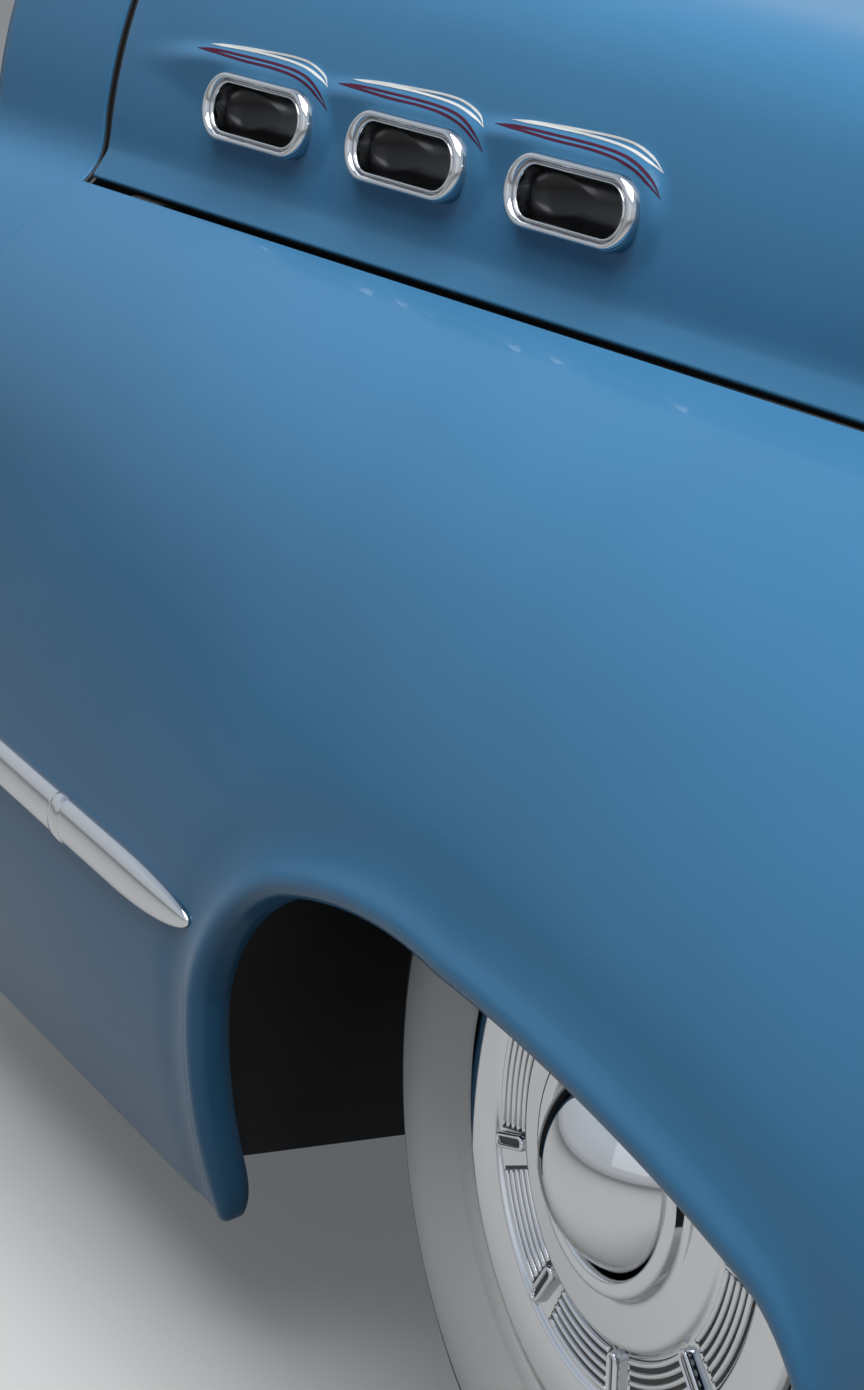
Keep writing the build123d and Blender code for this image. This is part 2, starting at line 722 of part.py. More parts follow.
def rail_outline(inset, ends):
    """Side view of the rail, its lower line given and its upper one a height above."""
    low = [(x, z + inset) for x, z in RAIL_LINE]
    high = [(x, z + RAIL_HEIGHT - inset) for x, z in RAIL_LINE]
    low[0] = (low[0][0] - ends, low[0][1])
    high[0] = (high[0][0] - ends, high[0][1])
    low[-1] = (low[-1][0] + ends, low[-1][1])
    high[-1] = (high[-1][0] + ends, high[-1][1])
    return low + high[::-1]


with BuildPart() as frame_rail:
    for inset, ends, wide, mode in ((0, 0, RAIL_WIDTH, Mode.ADD),
                                    (RAIL_WALL, 1, RAIL_WIDTH - 2 * RAIL_WALL, Mode.SUBTRACT)):
        with BuildSketch(side_plane(RAIL_Y)):
            with BuildLine():
                Polyline(rail_outline(inset, ends), close=True)
            make_face()
        extrude(amount=wide / 2, both=True, mode=mode)
write(frame_rail, "frame_rail")

# Crossmember half with its bolted flange at the centre plane and the spring tower
with BuildPart() as crossmember:
    foot_y = -FLANGE_THICK / 2
    outline = [(foot_y, -BEAM_HALF), (RAIL_Y + 70, -BEAM_HALF), (RAIL_Y + 10, -20), (RAIL_Y - 25, TOWER_LOW_Z),
               (TOWER_OUT_Y, TOWER_LOW_Z), (TOWER_OUT_Y, TOWER_TOP_Z), (RAIL_Y + 50, TOWER_TOP_Z),
               (RAIL_Y + 110, BEAM_HALF), (foot_y, BEAM_HALF)]
    with BuildSketch(section_plane(0)) as beam_side:
        with BuildLine():
            Polyline(outline, close=True)
        make_face()
    extrude(amount=BEAM_WIDTH / 2, both=True)
    hollow = offset(beam_side.sketch, amount=-BEAM_WALL, mode=Mode.PRIVATE)
    extrude(hollow, amount=BEAM_WIDTH / 2 - BEAM_WALL, both=True, mode=Mode.SUBTRACT)
    with BuildSketch(Plane.XZ):
        Rectangle(FLANGE_LENGTH, FLANGE_HEIGHT)
        with GridLocations(BOLT_X, BOLT_Z, 2, 2):
            Circle(BOLT_R, mode=Mode.SUBTRACT)
    extrude(amount=FLANGE_THICK)
    box_between((-BEAM_WIDTH / 2, BEAM_WIDTH / 2), (LOWER_PIVOT_Y - 25, LOWER_PIVOT_Y + 25),
                (LOWER_ARM_Z + PIVOT_R + PANEL_JOINT * 4, -BEAM_HALF))
write(crossmember, "crossmember")


def wishbone(z, pivot_y, half_width, name):
    """Flat A-shaped arm from its inner pivot shaft to the kingpin eye."""
    with BuildPart() as arm:
        with BuildSketch(Plane.XY.offset(z - ARM_THICK / 2)):
            with BuildLine():
                Polyline((-half_width, pivot_y), (half_width, pivot_y), (ARM_EYE_R - 4, KINGPIN_Y),
                         (4 - ARM_EYE_R, KINGPIN_Y), close=True)
            make_face()
            with BuildLine():
                Polyline((-half_width + ARM_WEB, pivot_y), (half_width - ARM_WEB, pivot_y),
                         (0, pivot_y + 0.38 * (KINGPIN_Y - pivot_y)), close=True)
            make_face(mode=Mode.SUBTRACT)
            with Locations((0, KINGPIN_Y)):
                Circle(ARM_EYE_R)
        extrude(amount=ARM_THICK)
        with Locations(Plane(origin=(0, pivot_y, z), z_dir=(1, 0, 0))):
            Cylinder(PIVOT_R, 2 * half_width + 30)
        if z < 0:
            with Locations((0, SPRING_Y, z)):
                Cylinder(SPRING_R + 12, ARM_THICK)
        with Locations((0, KINGPIN_Y, z)):
            Cylinder(KINGPIN_R + BORE_CLEAR, ARM_THICK * 2, mode=Mode.SUBTRACT)
    write(arm, name)


wishbone(UPPER_ARM_Z, UPPER_PIVOT_Y, 70, "upper_arm")
wishbone(LOWER_ARM_Z, LOWER_PIVOT_Y, 95, "lower_arm")

# Coil spring of half turns that lean to and fro, and the shock absorber inside it
spring_low = LOWER_ARM_Z + ARM_THICK / 2 + SPRING_WIRE_R + SEAT_GAP
spring_high = TOWER_LOW_Z - SPRING_WIRE_R - SEAT_GAP
with BuildPart() as coil_spring:
    count = 2 * SPRING_TURNS
    rise = (spring_high - spring_low) / count
    lean = degrees(atan2(rise, 2 * SPRING_R))
    reach = sqrt(SPRING_R ** 2 + (rise / 2) ** 2)
    for number in range(count):
        side = 1 if number % 2 == 0 else -1
        middle = Vector(0, SPRING_Y, spring_low + rise * (number + 0.5))
        up = Vector(side * sin(radians(lean)), 0, cos(radians(lean)))
        along = Vector(-side * cos(radians(lean)), 0, sin(radians(lean)))
        with BuildSketch(Plane(origin=middle - along * reach, x_dir=(1, 0, 0), z_dir=(0, -1, 0))):
            Circle(SPRING_WIRE_R)
        revolve(axis=Axis(middle, up), revolution_arc=180)
write(coil_spring, "coil_spring")

with BuildPart() as shock_absorber:
    low = LOWER_ARM_Z + ARM_THICK / 2 + SEAT_GAP
    high = TOWER_LOW_Z - SEAT_GAP
    with Locations((0, SPRING_Y, (low + SHOCK_SPLIT_Z) / 2)):
        Cylinder(SHOCK_R, SHOCK_SPLIT_Z - low)
    with Locations((0, SPRING_Y, (SHOCK_SPLIT_Z + high) / 2)):
        Cylinder(SHOCK_ROD_R, high - SHOCK_SPLIT_Z)
write(shock_absorber, "shock_absorber")

# Steering knuckle with kingpin, spindle and steering arm
with BuildPart() as knuckle:
    pin_low = LOWER_ARM_Z - ARM_THICK / 2 - PIN_PROUD
    pin_high = UPPER_ARM_Z + ARM_THICK / 2 + PIN_PROUD
    barrel_low = LOWER_ARM_Z + ARM_THICK / 2 + BARREL_GAP
    barrel_high = UPPER_ARM_Z - ARM_THICK / 2 - BARREL_GAP
    with Locations((0, KINGPIN_Y, (pin_low + pin_high) / 2)):
        Cylinder(KINGPIN_R, pin_high - pin_low)
    with Locations((0, KINGPIN_Y, (barrel_low + barrel_high) / 2)):
        Cylinder(BARREL_R, barrel_high - barrel_low)
    for radius, length in ((SPINDLE_BOSS_R, SPINDLE_BOSS_LENGTH), (SPINDLE_R, KINGPIN_Y - SPINDLE_END_Y)):
        with BuildSketch(side_plane(KINGPIN_Y)):
            Circle(radius)
        extrude(amount=length)
    with BuildSketch(Plane.XY.offset(TIE_ROD_Z + ARM_OVER_ROD)):
        with BuildLine():
            Polyline((0, KINGPIN_Y - 22), (0, KINGPIN_Y + 26), (ARM_END_X, ARM_END_Y + STEER_ARM_R),
                     (ARM_END_X, ARM_END_Y - STEER_ARM_R), close=True)
        make_face()
        with Locations((ARM_END_X, ARM_END_Y)):
            Circle(STEER_ARM_R)
    extrude(amount=STEER_ARM_THICK)
    with Locations((ARM_END_X, ARM_END_Y, TIE_ROD_Z + SKIN)):
        Cylinder(STUD_R, TIE_ROD_EYE_HEIGHT + 2 * SKIN)
write(knuckle, "knuckle")

with BuildPart() as backing_plate:
    with BuildSketch(side_plane(KINGPIN_Y - SPINDLE_BOSS_LENGTH - PANEL_JOINT)):
        Circle(DRUM_R - 2)
        Circle(SPINDLE_R + PANEL_JOINT, mode=Mode.SUBTRACT)
    extrude(amount=SKIN)
write(backing_plate, "backing_plate")

# Tie rod with an eye at each end
with BuildPart() as tie_rod:
    for y in (ARM_END_Y, TIE_ROD_END_Y):
        with Locations((ARM_END_X, y, TIE_ROD_Z)):
            Cylinder(TIE_ROD_EYE_R, TIE_ROD_EYE_HEIGHT)
    with BuildSketch(Plane(origin=(ARM_END_X, TIE_ROD_END_Y, TIE_ROD_Z), z_dir=(0, -1, 0))):
        Circle(TIE_ROD_R)
    extrude(amount=TIE_ROD_END_Y - ARM_END_Y)
    for y in (ARM_END_Y, TIE_ROD_END_Y):
        with Locations((ARM_END_X, y, TIE_ROD_Z)):
            Cylinder(STUD_R + BORE_CLEAR, 3 * TIE_ROD_EYE_HEIGHT, mode=Mode.SUBTRACT)
write(tie_rod, "tie_rod")

# Brake drum and hub on the spindle
with BuildPart() as brake_drum:
    hub_bore = SPINDLE_R + BORE_CLEAR
    drum_inner = DRUM_R - DRUM_WALL
    revolve(turning_profiles([
        [(36, DRUM_R), (-15, DRUM_R), (-15, hub_bore), (-9, hub_bore), (-9, drum_inner), (36, drum_inner)],
        [(34, hub_bore), (34, HUB_R), (-40, HUB_R), (-40, hub_bore)],
    ]), axis=AXLE)
write(brake_drum, "brake_drum")

# Steel wheel: drop-centre rim and its disc
with BuildPart() as wheel_rim:
    edge = [(RIM_HALF - inside, BEAD_R + over) for inside, over in RIM_BENDS]
    top = [(-across, r) for across, r in edge] + edge[-1:1:-1] + edge[1::-1]
    under = [(across + RIM_FLARE, r - RIM_WALL) for across, r in edge[2:]]
    profile = top + under + [(-across, r) for across, r in reversed(under)]
    disc = [(across, BEAD_R + over) for across, over in DISC_PROFILE]
    revolve(turning_profiles([profile, disc]), axis=AXLE)
write(wheel_rim, "wheel_rim")

# Tyre: arcs for the two sidewalls, shoulders and crown
def wall_point(height, side, inset=0.0, bead_inset=0.0):
    """Point of a sidewall at a height from the axle, its arc set in by an inset at the widest."""
    half_height = (TYRE_R - SHOULDER_DROP - BEAD_R) / 2
    swell = TYRE_WIDTH / 2 - inset - (BEAD_HALF - bead_inset)
    radius = (half_height ** 2 + swell ** 2) / (2 * swell)
    away = height - BEAD_R - half_height
    return (side * (TYRE_WIDTH / 2 - inset - radius + sqrt(radius ** 2 - away ** 2)), height)


def tyre_face(crown, half, inset, bead_inset):
    """Left wall, crown and right wall of the tyre's outer or inner face."""
    heights = (BEAD_R, (BEAD_R + TYRE_R - SHOULDER_DROP) / 2, TYRE_R - SHOULDER_DROP - inset / 2)
    left = [wall_point(h, -1, inset, bead_inset) for h in heights]
    right = [wall_point(h, 1, inset, bead_inset) for h in heights]
    crown_arc = [(-half, crown - CROWN_RISE), (0, crown), (half, crown - CROWN_RISE)]
    return left, crown_arc, right


with BuildPart() as tyre:
    left, crown_out, right = tyre_face(TYRE_R, TREAD_HALF, 0, 0)
    left_in, crown_in, right_in = tyre_face(TYRE_R - TREAD_THICK, TREAD_HALF - 6, WALL_THICK, BEAD_THICK)
    with BuildSketch(AXLE_PLANE):
        with BuildLine():
            ThreePointArc(*left)
            Line(left[-1], crown_out[0])
            ThreePointArc(*crown_out)
            Line(crown_out[-1], right[-1])
            ThreePointArc(*right)
            Line(right[0], right_in[0])
            ThreePointArc(*right_in)
            Line(right_in[-1], crown_in[-1])
            ThreePointArc(*crown_in)
            Line(crown_in[0], left_in[-1])
            ThreePointArc(*left_in)
            Line(left_in[0], left[0])
        make_face()
    revolve(axis=AXLE)
write(tyre, "tyre")

with BuildPart() as whitewall:
    with BuildSketch(AXLE_PLANE):
        with BuildLine():
            heights = (WHITE_LOW_R, (WHITE_LOW_R + WHITE_HIGH_R) / 2, WHITE_HIGH_R)
            back = [wall_point(h, -1) for h in heights]
            front = [(across - WHITE_THICK, h) for across, h in back]
            ThreePointArc(*back)
            Line(back[-1], front[-1])
            ThreePointArc(*front)
            Line(front[0], back[0])
        make_face()
    revolve(axis=AXLE)
write(whitewall, "whitewall")

# Chrome wheel cover: outer band, ribbed ring with radial tabs, inner ring and bezel
with BuildPart() as wheel_cover:
    shell = [(-RIM_HALF - proud, r) for proud, r in COVER_FACE]
    shell += [(across + COVER_THICK, r) for across, r in reversed(shell)]
    base = -RIM_HALF - RIB_BASE
    top = -RIM_HALF - RIB_TOP
    ribs = []
    for number in range(RIB_COUNT):
        low = RIB_FIRST_R + number * RIB_PITCH - RIB_HALF
        high = low + 2 * RIB_HALF
        ribs.append([(base, low), (top, low), (top, high), (base, high)])
    revolve(turning_profiles([shell] + ribs), axis=AXLE)
    for number in range(TAB_COUNT):
        angle = TAB_FIRST + number * 360 / TAB_COUNT
        with BuildSketch(side_plane(WHEEL_Y + base)):
            with Locations(Location((0, 0, 0), (0, 0, angle))):
                with Locations((TAB_MIDDLE_R, 0)):
                    Rectangle(TAB_LENGTH, TAB_WIDTH)
        extrude(amount=TAB_HEIGHT)
write(wheel_cover, "wheel_cover")

with BuildPart() as hub_dome:
    with BuildSketch(AXLE_PLANE):
        with BuildLine():
            inner_r = DOME_R - COVER_THICK
            base = -RIM_HALF - DOME_BASE
            top = -RIM_HALF - DOME_TOP
            inner_top = top + COVER_THICK
            ThreePointArc((base, DOME_R), cap_point(DOME_R, base, top), (top, 0))
            Line((top, 0), (inner_top, 0))
            ThreePointArc((inner_top, 0), cap_point(inner_r, base, inner_top), (base, inner_r))
            Line((base, inner_r), (base, DOME_R))
        make_face()
    revolve(axis=AXLE)
write(hub_dome, "hub_dome")

# Radiator support, hood hinge and its bracket
with BuildPart() as radiator_support:
    foot = rail_low(RADIATOR_X) + RAIL_HEIGHT + SEAT_GAP
    side_y = WALL_Y + SKIN
    with BuildSketch(section_plane(RADIATOR_X)):
        with BuildLine():
            Polyline((0, 0), (RAIL_Y + 55, 0), (RAIL_Y + 55, foot), (side_y, foot), (side_y, SEAM_REAR_Z - 31),
                     (side_y + 67, SEAM_REAR_Z + 109), (0, SEAM_REAR_Z + 139), close=True)
        make_face()
        with BuildLine():
            Polyline((-45, 45), (RAIL_Y + 95, 45), (RAIL_Y + 95, foot + 40), (side_y + 42, foot + 40),
                     (side_y + 42, SEAM_REAR_Z - 51), (side_y + 107, SEAM_REAR_Z + 59), (-45, SEAM_REAR_Z + 89),
                     close=True)
        make_face(mode=Mode.SUBTRACT)
    extrude(amount=FLANGE_THICK)
write(radiator_support, "radiator_support")


def bar_outline(points, width):
    """Closed outline of a flat bar along the points, mitred at its bends."""
    sides = []
    for sign in (1, -1):
        row = []
        for number, point in enumerate(points):
            before = points[max(number - 1, 0)]
            after = points[min(number + 1, len(points) - 1)]
            along = (Vector(*after) - Vector(*before)).normalized()
            row.append(Vector(*point) + Vector(-along.Y, along.X) * sign * width / 2)
        sides.append(row)
    return [(p.X, p.Y) for p in sides[0] + sides[1][::-1]]


def hinge_plane(y):
    return Plane(origin=(HINGE_X, y, HINGE_Z), x_dir=(1, 0, 0), z_dir=(0, -1, 0))


with BuildPart() as above_hood:
    box_between((FENDER_REAR_X, HINGE_X + 300), (HINGE_Y - 30, HINGE_Y + 20), (HINGE_Z, HINGE_Z + 200))
    add(hood_room.part, mode=Mode.SUBTRACT)

with BuildPart() as hood_hinge_arm:
    with BuildSketch(hinge_plane(HINGE_Y)):
        with BuildLine():
            Polyline(bar_outline(HINGE_BENDS, HINGE_BAR), close=True)
        make_face()
        Circle(HINGE_EYE_R)
    extrude(amount=HINGE_THICK)
    with BuildSketch(hinge_plane(HINGE_Y)):
        Circle(HINGE_PIN_R + BORE_CLEAR)
    extrude(amount=HINGE_THICK, mode=Mode.SUBTRACT)
    add(above_hood.part, mode=Mode.SUBTRACT)
write(hood_hinge_arm, "hood_hinge_arm")

with BuildPart() as hood_hinge_bracket:
    back = FIREWALL_X - HINGE_X + SEAT_GAP
    with BuildSketch(hinge_plane(HINGE_Y - HINGE_THICK - 2)):
        with BuildLine():
            Polyline((0, HINGE_EYE_R), (back, 40), (back, -60), (0, -HINGE_EYE_R), close=True)
        make_face()
        Circle(HINGE_EYE_R)
    extrude(amount=HINGE_THICK)
    with BuildSketch(hinge_plane(HINGE_Y + 3)):
        Circle(HINGE_PIN_R)
    extrude(amount=HINGE_THICK * 2 + 5)
write(hood_hinge_bracket, "hood_hinge_bracket")

# Bumper bracket on the rail's front end
with BuildPart() as bumper_bracket:
    rail_end, rail_z = RAIL_LINE[-1]
    middle = rail_z + RAIL_HEIGHT / 2
    seat = rail_end + SEAT_GAP
    half = BRACKET_THICK / 2
    bolt_x = seat + 45
    box_between((seat, seat + BRACKET_THICK), (RAIL_Y - 50, RAIL_Y + 50), (middle - 50, middle + 50))
    box_between((seat, seat + 60), (RAIL_Y - half, RAIL_Y + half), (middle - 40, middle + 40))
    with BuildSketch(side_plane(RAIL_Y)):
        with Locations((bolt_x, middle)):
            with GridLocations(0, BUMPER_BOLT_PITCH, 1, 2):
                Circle(BOLT_R)
    extrude(amount=BRACKET_THICK, both=True, mode=Mode.SUBTRACT)
write(bumper_bracket, "bumper_bracket")

# Outrigger from the rail that carries the cowl
OUTRIGGER_LENGTH = 55.0
OUTRIGGER_Z = (-165, -115)
with BuildPart() as cowl_room:
    cowl_inside = dict(FENDER_SECTIONS[0])
    for x in (FENDER_REAR_X, COWL_REAR_X):
        cowl_inside["x"] = x
        add(fender_block(cowl_inside, SKIN + SEAT_GAP, 0))
    loft()

with BuildPart() as cowl_outrigger:
    front = FIREWALL_X - SKIN - SEAT_GAP
    length = (front - OUTRIGGER_LENGTH, front)
    rail_side = RAIL_Y - RAIL_WIDTH / 2 - SEAT_GAP
    box_between(length, (CUT_Y, rail_side), OUTRIGGER_Z)
    add(cowl_room.part, mode=Mode.INTERSECT)
    box_between(length, (WALL_Y - 5, rail_side), OUTRIGGER_Z)
write(cowl_outrigger, "cowl_outrigger")
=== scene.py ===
import cmath
import math

import bpy
import numpy as np
from mathutils import Matrix, Vector
from mathutils.bvhtree import BVHTree
from mathutils.geometry import delaunay_2d_cdt


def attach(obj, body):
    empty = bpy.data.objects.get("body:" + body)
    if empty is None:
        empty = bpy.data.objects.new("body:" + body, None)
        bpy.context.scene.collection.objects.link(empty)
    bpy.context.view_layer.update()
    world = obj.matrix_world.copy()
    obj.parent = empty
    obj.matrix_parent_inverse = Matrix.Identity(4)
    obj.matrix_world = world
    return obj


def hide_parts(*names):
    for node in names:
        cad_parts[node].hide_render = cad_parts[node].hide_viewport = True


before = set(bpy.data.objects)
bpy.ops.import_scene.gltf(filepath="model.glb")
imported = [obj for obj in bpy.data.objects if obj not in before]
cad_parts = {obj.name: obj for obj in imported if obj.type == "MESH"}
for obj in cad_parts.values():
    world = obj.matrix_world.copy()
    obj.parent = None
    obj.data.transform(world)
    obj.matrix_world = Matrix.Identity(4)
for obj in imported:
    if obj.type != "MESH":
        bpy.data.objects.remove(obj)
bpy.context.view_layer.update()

# Sizes in millimetres, as in the part's source: mesh_object turns them to metres.
# X runs forward from the front axle line, Y to the car's left from its centre plane, Z up from the axle.
MM = 0.001
GROUND_Z = -345.0
SHEET = 1.6
HOOD_GAP = 8.0
COWL_GAP = 12.0
PANEL_JOINT = 1.0
FENDER_REAR_X = -1020.0
FENDER_NOSE_X = 780.0
HOOD_NOSE_X = 700.0
COWL_REAR_X = -1210.0
WIDEST_Y = -970.0
SEAM_REAR_Y = -824.0
SEAM_REAR_Z = 451.0
SEAM_SPLAY = 0.1413
SEAM_RISE = 0.0225
NOSE_DROP = 60.0
WELL_R = 428.0

# Fender sections: place along the car, the top's fall at the seam in degrees, and the
# widest point and the bottom edge as a distance inboard of the widest line and a height
FENDER_SECTIONS = [
    dict(x=-1020.0, fall=34.0, wide_in=4.0, wide_z=30.0, low_in=58.0, low_z=-232.0),
    dict(x=-650.0, fall=22.0, wide_in=1.0, wide_z=22.0, low_in=58.0, low_z=-232.0),
    dict(x=-250.0, fall=16.0, wide_in=0.0, wide_z=20.0, low_in=58.0, low_z=-232.0),
    dict(x=200.0, fall=14.0, wide_in=0.0, wide_z=25.0, low_in=58.0, low_z=-228.0),
    dict(x=560.0, fall=14.0, wide_in=12.0, wide_z=45.0, low_in=70.0, low_z=-200.0),
    dict(x=700.0, fall=16.0, wide_in=30.0, wide_z=70.0, low_in=86.0, low_z=-170.0),
    dict(x=780.0, fall=17.0, wide_in=52.0, wide_z=90.0, low_in=108.0, low_z=-140.0),
]

# Hood sections: place along the car, crown height over the seam's rear end, and height
# of the steep side over the seam
FLARE_OUT = 17.0
FLARE_UP = 24.0
SIDE_LEAN = math.radians(20)
SHOULDER_SHARE = 0.2
HOOD_SECTIONS = [
    dict(x=-1020.0, crown=309.0, side=187.0),
    dict(x=-600.0, crown=301.0, side=180.0),
    dict(x=-150.0, crown=279.0, side=165.0),
    dict(x=300.0, crown=241.0, side=140.0),
    dict(x=560.0, crown=194.0, side=112.0),
    dict(x=700.0, crown=144.0, side=88.0),
]

# Wheel arch seen from the side: distance inside the well's end wall, and height
ARCH_TOP = -60 + 118j
ARCH_REAR = [(18, -260), (28, -140), (40, -31), (76, 38), (139, 87), (228, 112)]
ARCH_FRONT = [(10, -260), (12, -150), (20, -50), (40, 32), (104, 81), (288, 109)]
ROLL_R = 11.0
LIP_DEPTH = 18.0


# Outlines as complex numbers: across the car Y + Zj, seen from the side X + Zj
def dot(a, b):
    return (a * b.conjugate()).real


def column(rows, key, x):
    """Value of a table's column at x, smooth through its rows and level beyond them."""
    places = [row["x"] for row in rows]
    values = [row[key] for row in rows]
    slopes = np.gradient(values, places)
    x = min(max(x, places[0]), places[-1])
    i = min(max(int(np.searchsorted(places, x)) - 1, 0), len(places) - 2)
    span = places[i + 1] - places[i]
    t = (x - places[i]) / span
    ease = t * t * (3 - 2 * t)
    start = t * (1 - t) ** 2 * span * slopes[i]
    end = t * t * (t - 1) * span * slopes[i + 1]
    return values[i] * (1 - ease) + values[i + 1] * ease + start + end


def biarc_joint(start, start_dir, end, end_dir, share=1.0):
    """Point and direction where two tangent arcs from start to end meet."""
    v = end - start
    a = 2 * share * (dot(start_dir, end_dir) - 1)
    b = -2 * (share * dot(v, start_dir) + dot(v, end_dir))
    c = dot(v, v)
    second = (-b - math.sqrt(b * b - 4 * a * c)) / (2 * a)
    first = share * second
    near = start + start_dir * first
    far = end - end_dir * second
    joint = (near * second + far * first) / (first + second)
    return joint, (far - near) / abs(far - near)


def arc(start, direction, end, count=60):
    """Points of the arc that leaves start in a direction and reaches end, its end left off."""
    chord = end - start
    half = cmath.phase(chord / direction)
    t = np.arange(count) / count
    if abs(half) < 1e-6:
        return start + chord * t
    return start + chord * np.sin(t * half) / math.sin(half) * np.exp(1j * (t - 1) * half)


def arc_by_three(a, b, c):
    """Points of the arc from a over b to c, its end left off."""
    half = -cmath.phase((c - b) / (b - a))
    direction = (c - a) / abs(c - a) * cmath.exp(1j * half)
    return arc(a, direction, c)


def even(points, count):
    """The same line with evenly spaced points."""
    steps = np.concatenate(([0], np.cumsum(np.abs(np.diff(points)))))
    places = np.linspace(0, steps[-1], count)
    return np.interp(places, steps, points.real) + 1j * np.interp(places, steps, points.imag)


def eased(points, width):
    """The line with its bends eased over a width counted in points, its ends kept."""
    reach = 3 * width
    before = 2 * points[0] - points[reach:0:-1]
    after = 2 * points[-1] - points[-2:-reach - 2:-1]
    weights = np.exp(-0.5 * (np.arange(-reach, reach + 1) / width) ** 2)
    return np.convolve(np.concatenate((before, points, after)), weights / weights.sum(), "valid")


def seam_y(x):
    return SEAM_REAR_Y + SEAM_SPLAY * (x - FENDER_REAR_X)


def seam_z(x):
    return SEAM_REAR_Z + SEAM_RISE * (x - FENDER_REAR_X) - NOSE_DROP * (max(x, 0) / FENDER_NOSE_X) ** 2


def fender_arcs(x, gap=HOOD_GAP):
    """Section of the fender from its edge at the hood down to its bottom edge."""
    fall = math.radians(column(FENDER_SECTIONS, "fall", x))
    edge = complex(seam_y(x) - gap, seam_z(x))
    edge_dir = -cmath.exp(1j * fall)
    wide = complex(WIDEST_Y + column(FENDER_SECTIONS, "wide_in", x), column(FENDER_SECTIONS, "wide_z", x))
    low = complex(WIDEST_Y + column(FENDER_SECTIONS, "low_in", x), column(FENDER_SECTIONS, "low_z", x))
    shoulder, shoulder_dir = biarc_joint(edge, edge_dir, wide, -1j)
    upper = np.concatenate((arc(edge, edge_dir, shoulder), arc(shoulder, shoulder_dir, wide)))
    return np.concatenate((upper, arc(wide, -1j, low), [low]))


def hood_arcs(x):
    """Section of the hood from the seam over its flare, side and shoulder to the centre plane."""
    seam = complex(seam_y(x), seam_z(x))
    flare = seam + complex(FLARE_OUT, FLARE_UP)
    radius = (column(HOOD_SECTIONS, "side", x) - FLARE_UP) / math.sin(SIDE_LEAN)
    side = flare + complex(radius * (1 - math.cos(SIDE_LEAN)), radius * math.sin(SIDE_LEAN))
    side_dir = complex(math.sin(SIDE_LEAN), math.cos(SIDE_LEAN))
    crown = complex(0, SEAM_REAR_Z + column(HOOD_SECTIONS, "crown", x))
    turn = 2 * math.atan2(FLARE_OUT, FLARE_UP)
    seam_dir = complex(math.sin(turn), math.cos(turn))
    shoulder, shoulder_dir = biarc_joint(side, side_dir, crown, 1, SHOULDER_SHARE)
    return np.concatenate((arc(seam, seam_dir, flare), arc(flare, 1j, side), arc(side, side_dir, shoulder),
                           arc(shoulder, shoulder_dir, crown), [crown]))


class Skin:
    """A panel's surface: x along the car and a share of the way down its section give a point."""

    def __init__(self, section, start, end, points, width, spacing=10.0):
        self.places = np.linspace(start, end, int((end - start) / spacing) + 1)
        self.lines = np.array([eased(even(section(x), points), width) for x in self.places])
        self.points = points

    def at(self, x, share):
        """Points of the surface at arrays of x and share."""
        x = np.asarray(x, float)
        i = np.clip(np.searchsorted(self.places, x) - 1, 0, len(self.places) - 2)
        t = (x - self.places[i]) / (self.places[i + 1] - self.places[i])
        place = np.clip(share, 0, 1) * (self.points - 1)
        j = np.minimum(place.astype(int), self.points - 2)
        s = place - j
        low = self.lines[i, j] * (1 - s) + self.lines[i, j + 1] * s
        high = self.lines[i + 1, j] * (1 - s) + self.lines[i + 1, j + 1] * s
        across = low * (1 - t) + high * t
        return np.stack((x, across.real, across.imag), -1)

    def share_at(self, x, z):
        """Share of the way down at which the surface has a height z, for arrays of x and z."""
        shares = np.linspace(0, 1, self.points)
        out = []
        for one_x, one_z in zip(x, z):
            heights = self.at(np.full(self.points, one_x), shares)[:, 2]
            out.append(np.interp(-one_z, -heights, shares))
        return np.array(out)


# Grids of points, rows first, and what turns them into objects
def unit(vectors):
    return vectors / np.linalg.norm(vectors, axis=-1, keepdims=True)


def grid_normals(grid, outward):
    """Unit normals of a grid, on the side of a direction outward."""
    normals = unit(np.cross(np.gradient(grid, axis=0), np.gradient(grid, axis=1)))
    middle = normals[normals.shape[0] // 2, normals.shape[1] // 2]
    return normals if middle @ np.array(outward, float) > 0 else -normals


def rolled(grid, outward, radius, depth, steps=5):
    """The grid with its last row rolled inward round a radius and run on inward by a depth."""
    edge = grid[-1]
    normal = grid_normals(grid, outward)[-1]
    along = unit(np.gradient(edge, axis=0))
    out = unit(np.cross(normal, along))
    out *= np.sign((out * (grid[-1] - grid[-2])).sum(-1, keepdims=True))
    radius = np.broadcast_to(radius, edge.shape[:1])[:, None]
    depth = np.broadcast_to(depth, edge.shape[:1])[:, None]
    rows = [grid]
    for step in range(1, steps + 1):
        turn = math.pi / 2 * step / steps
        rows.append((edge + out * radius * math.sin(turn) - normal * radius * (1 - math.cos(turn)))[None])
    rows.append(rows[-1] - normal[None] * depth[None] / 2)
    rows.append(rows[-1] - normal[None] * depth[None] / 2)
    return np.concatenate(rows)


def turned(grid):
    """The grid with rows and columns swapped."""
    return grid.transpose(1, 0, 2)


def grid_faces(rows, columns, closed=False):
    """Quads of a grid; closed joins its last column to its first."""
    index = np.arange(rows * columns).reshape(rows, columns)
    right = np.roll(index, -1, axis=1)
    if not closed:
        index, right = index[:, :-1], right[:, :-1]
    quads = np.stack((index[:-1], right[:-1], right[1:], index[1:]), -1)
    return quads.reshape(-1, 4)


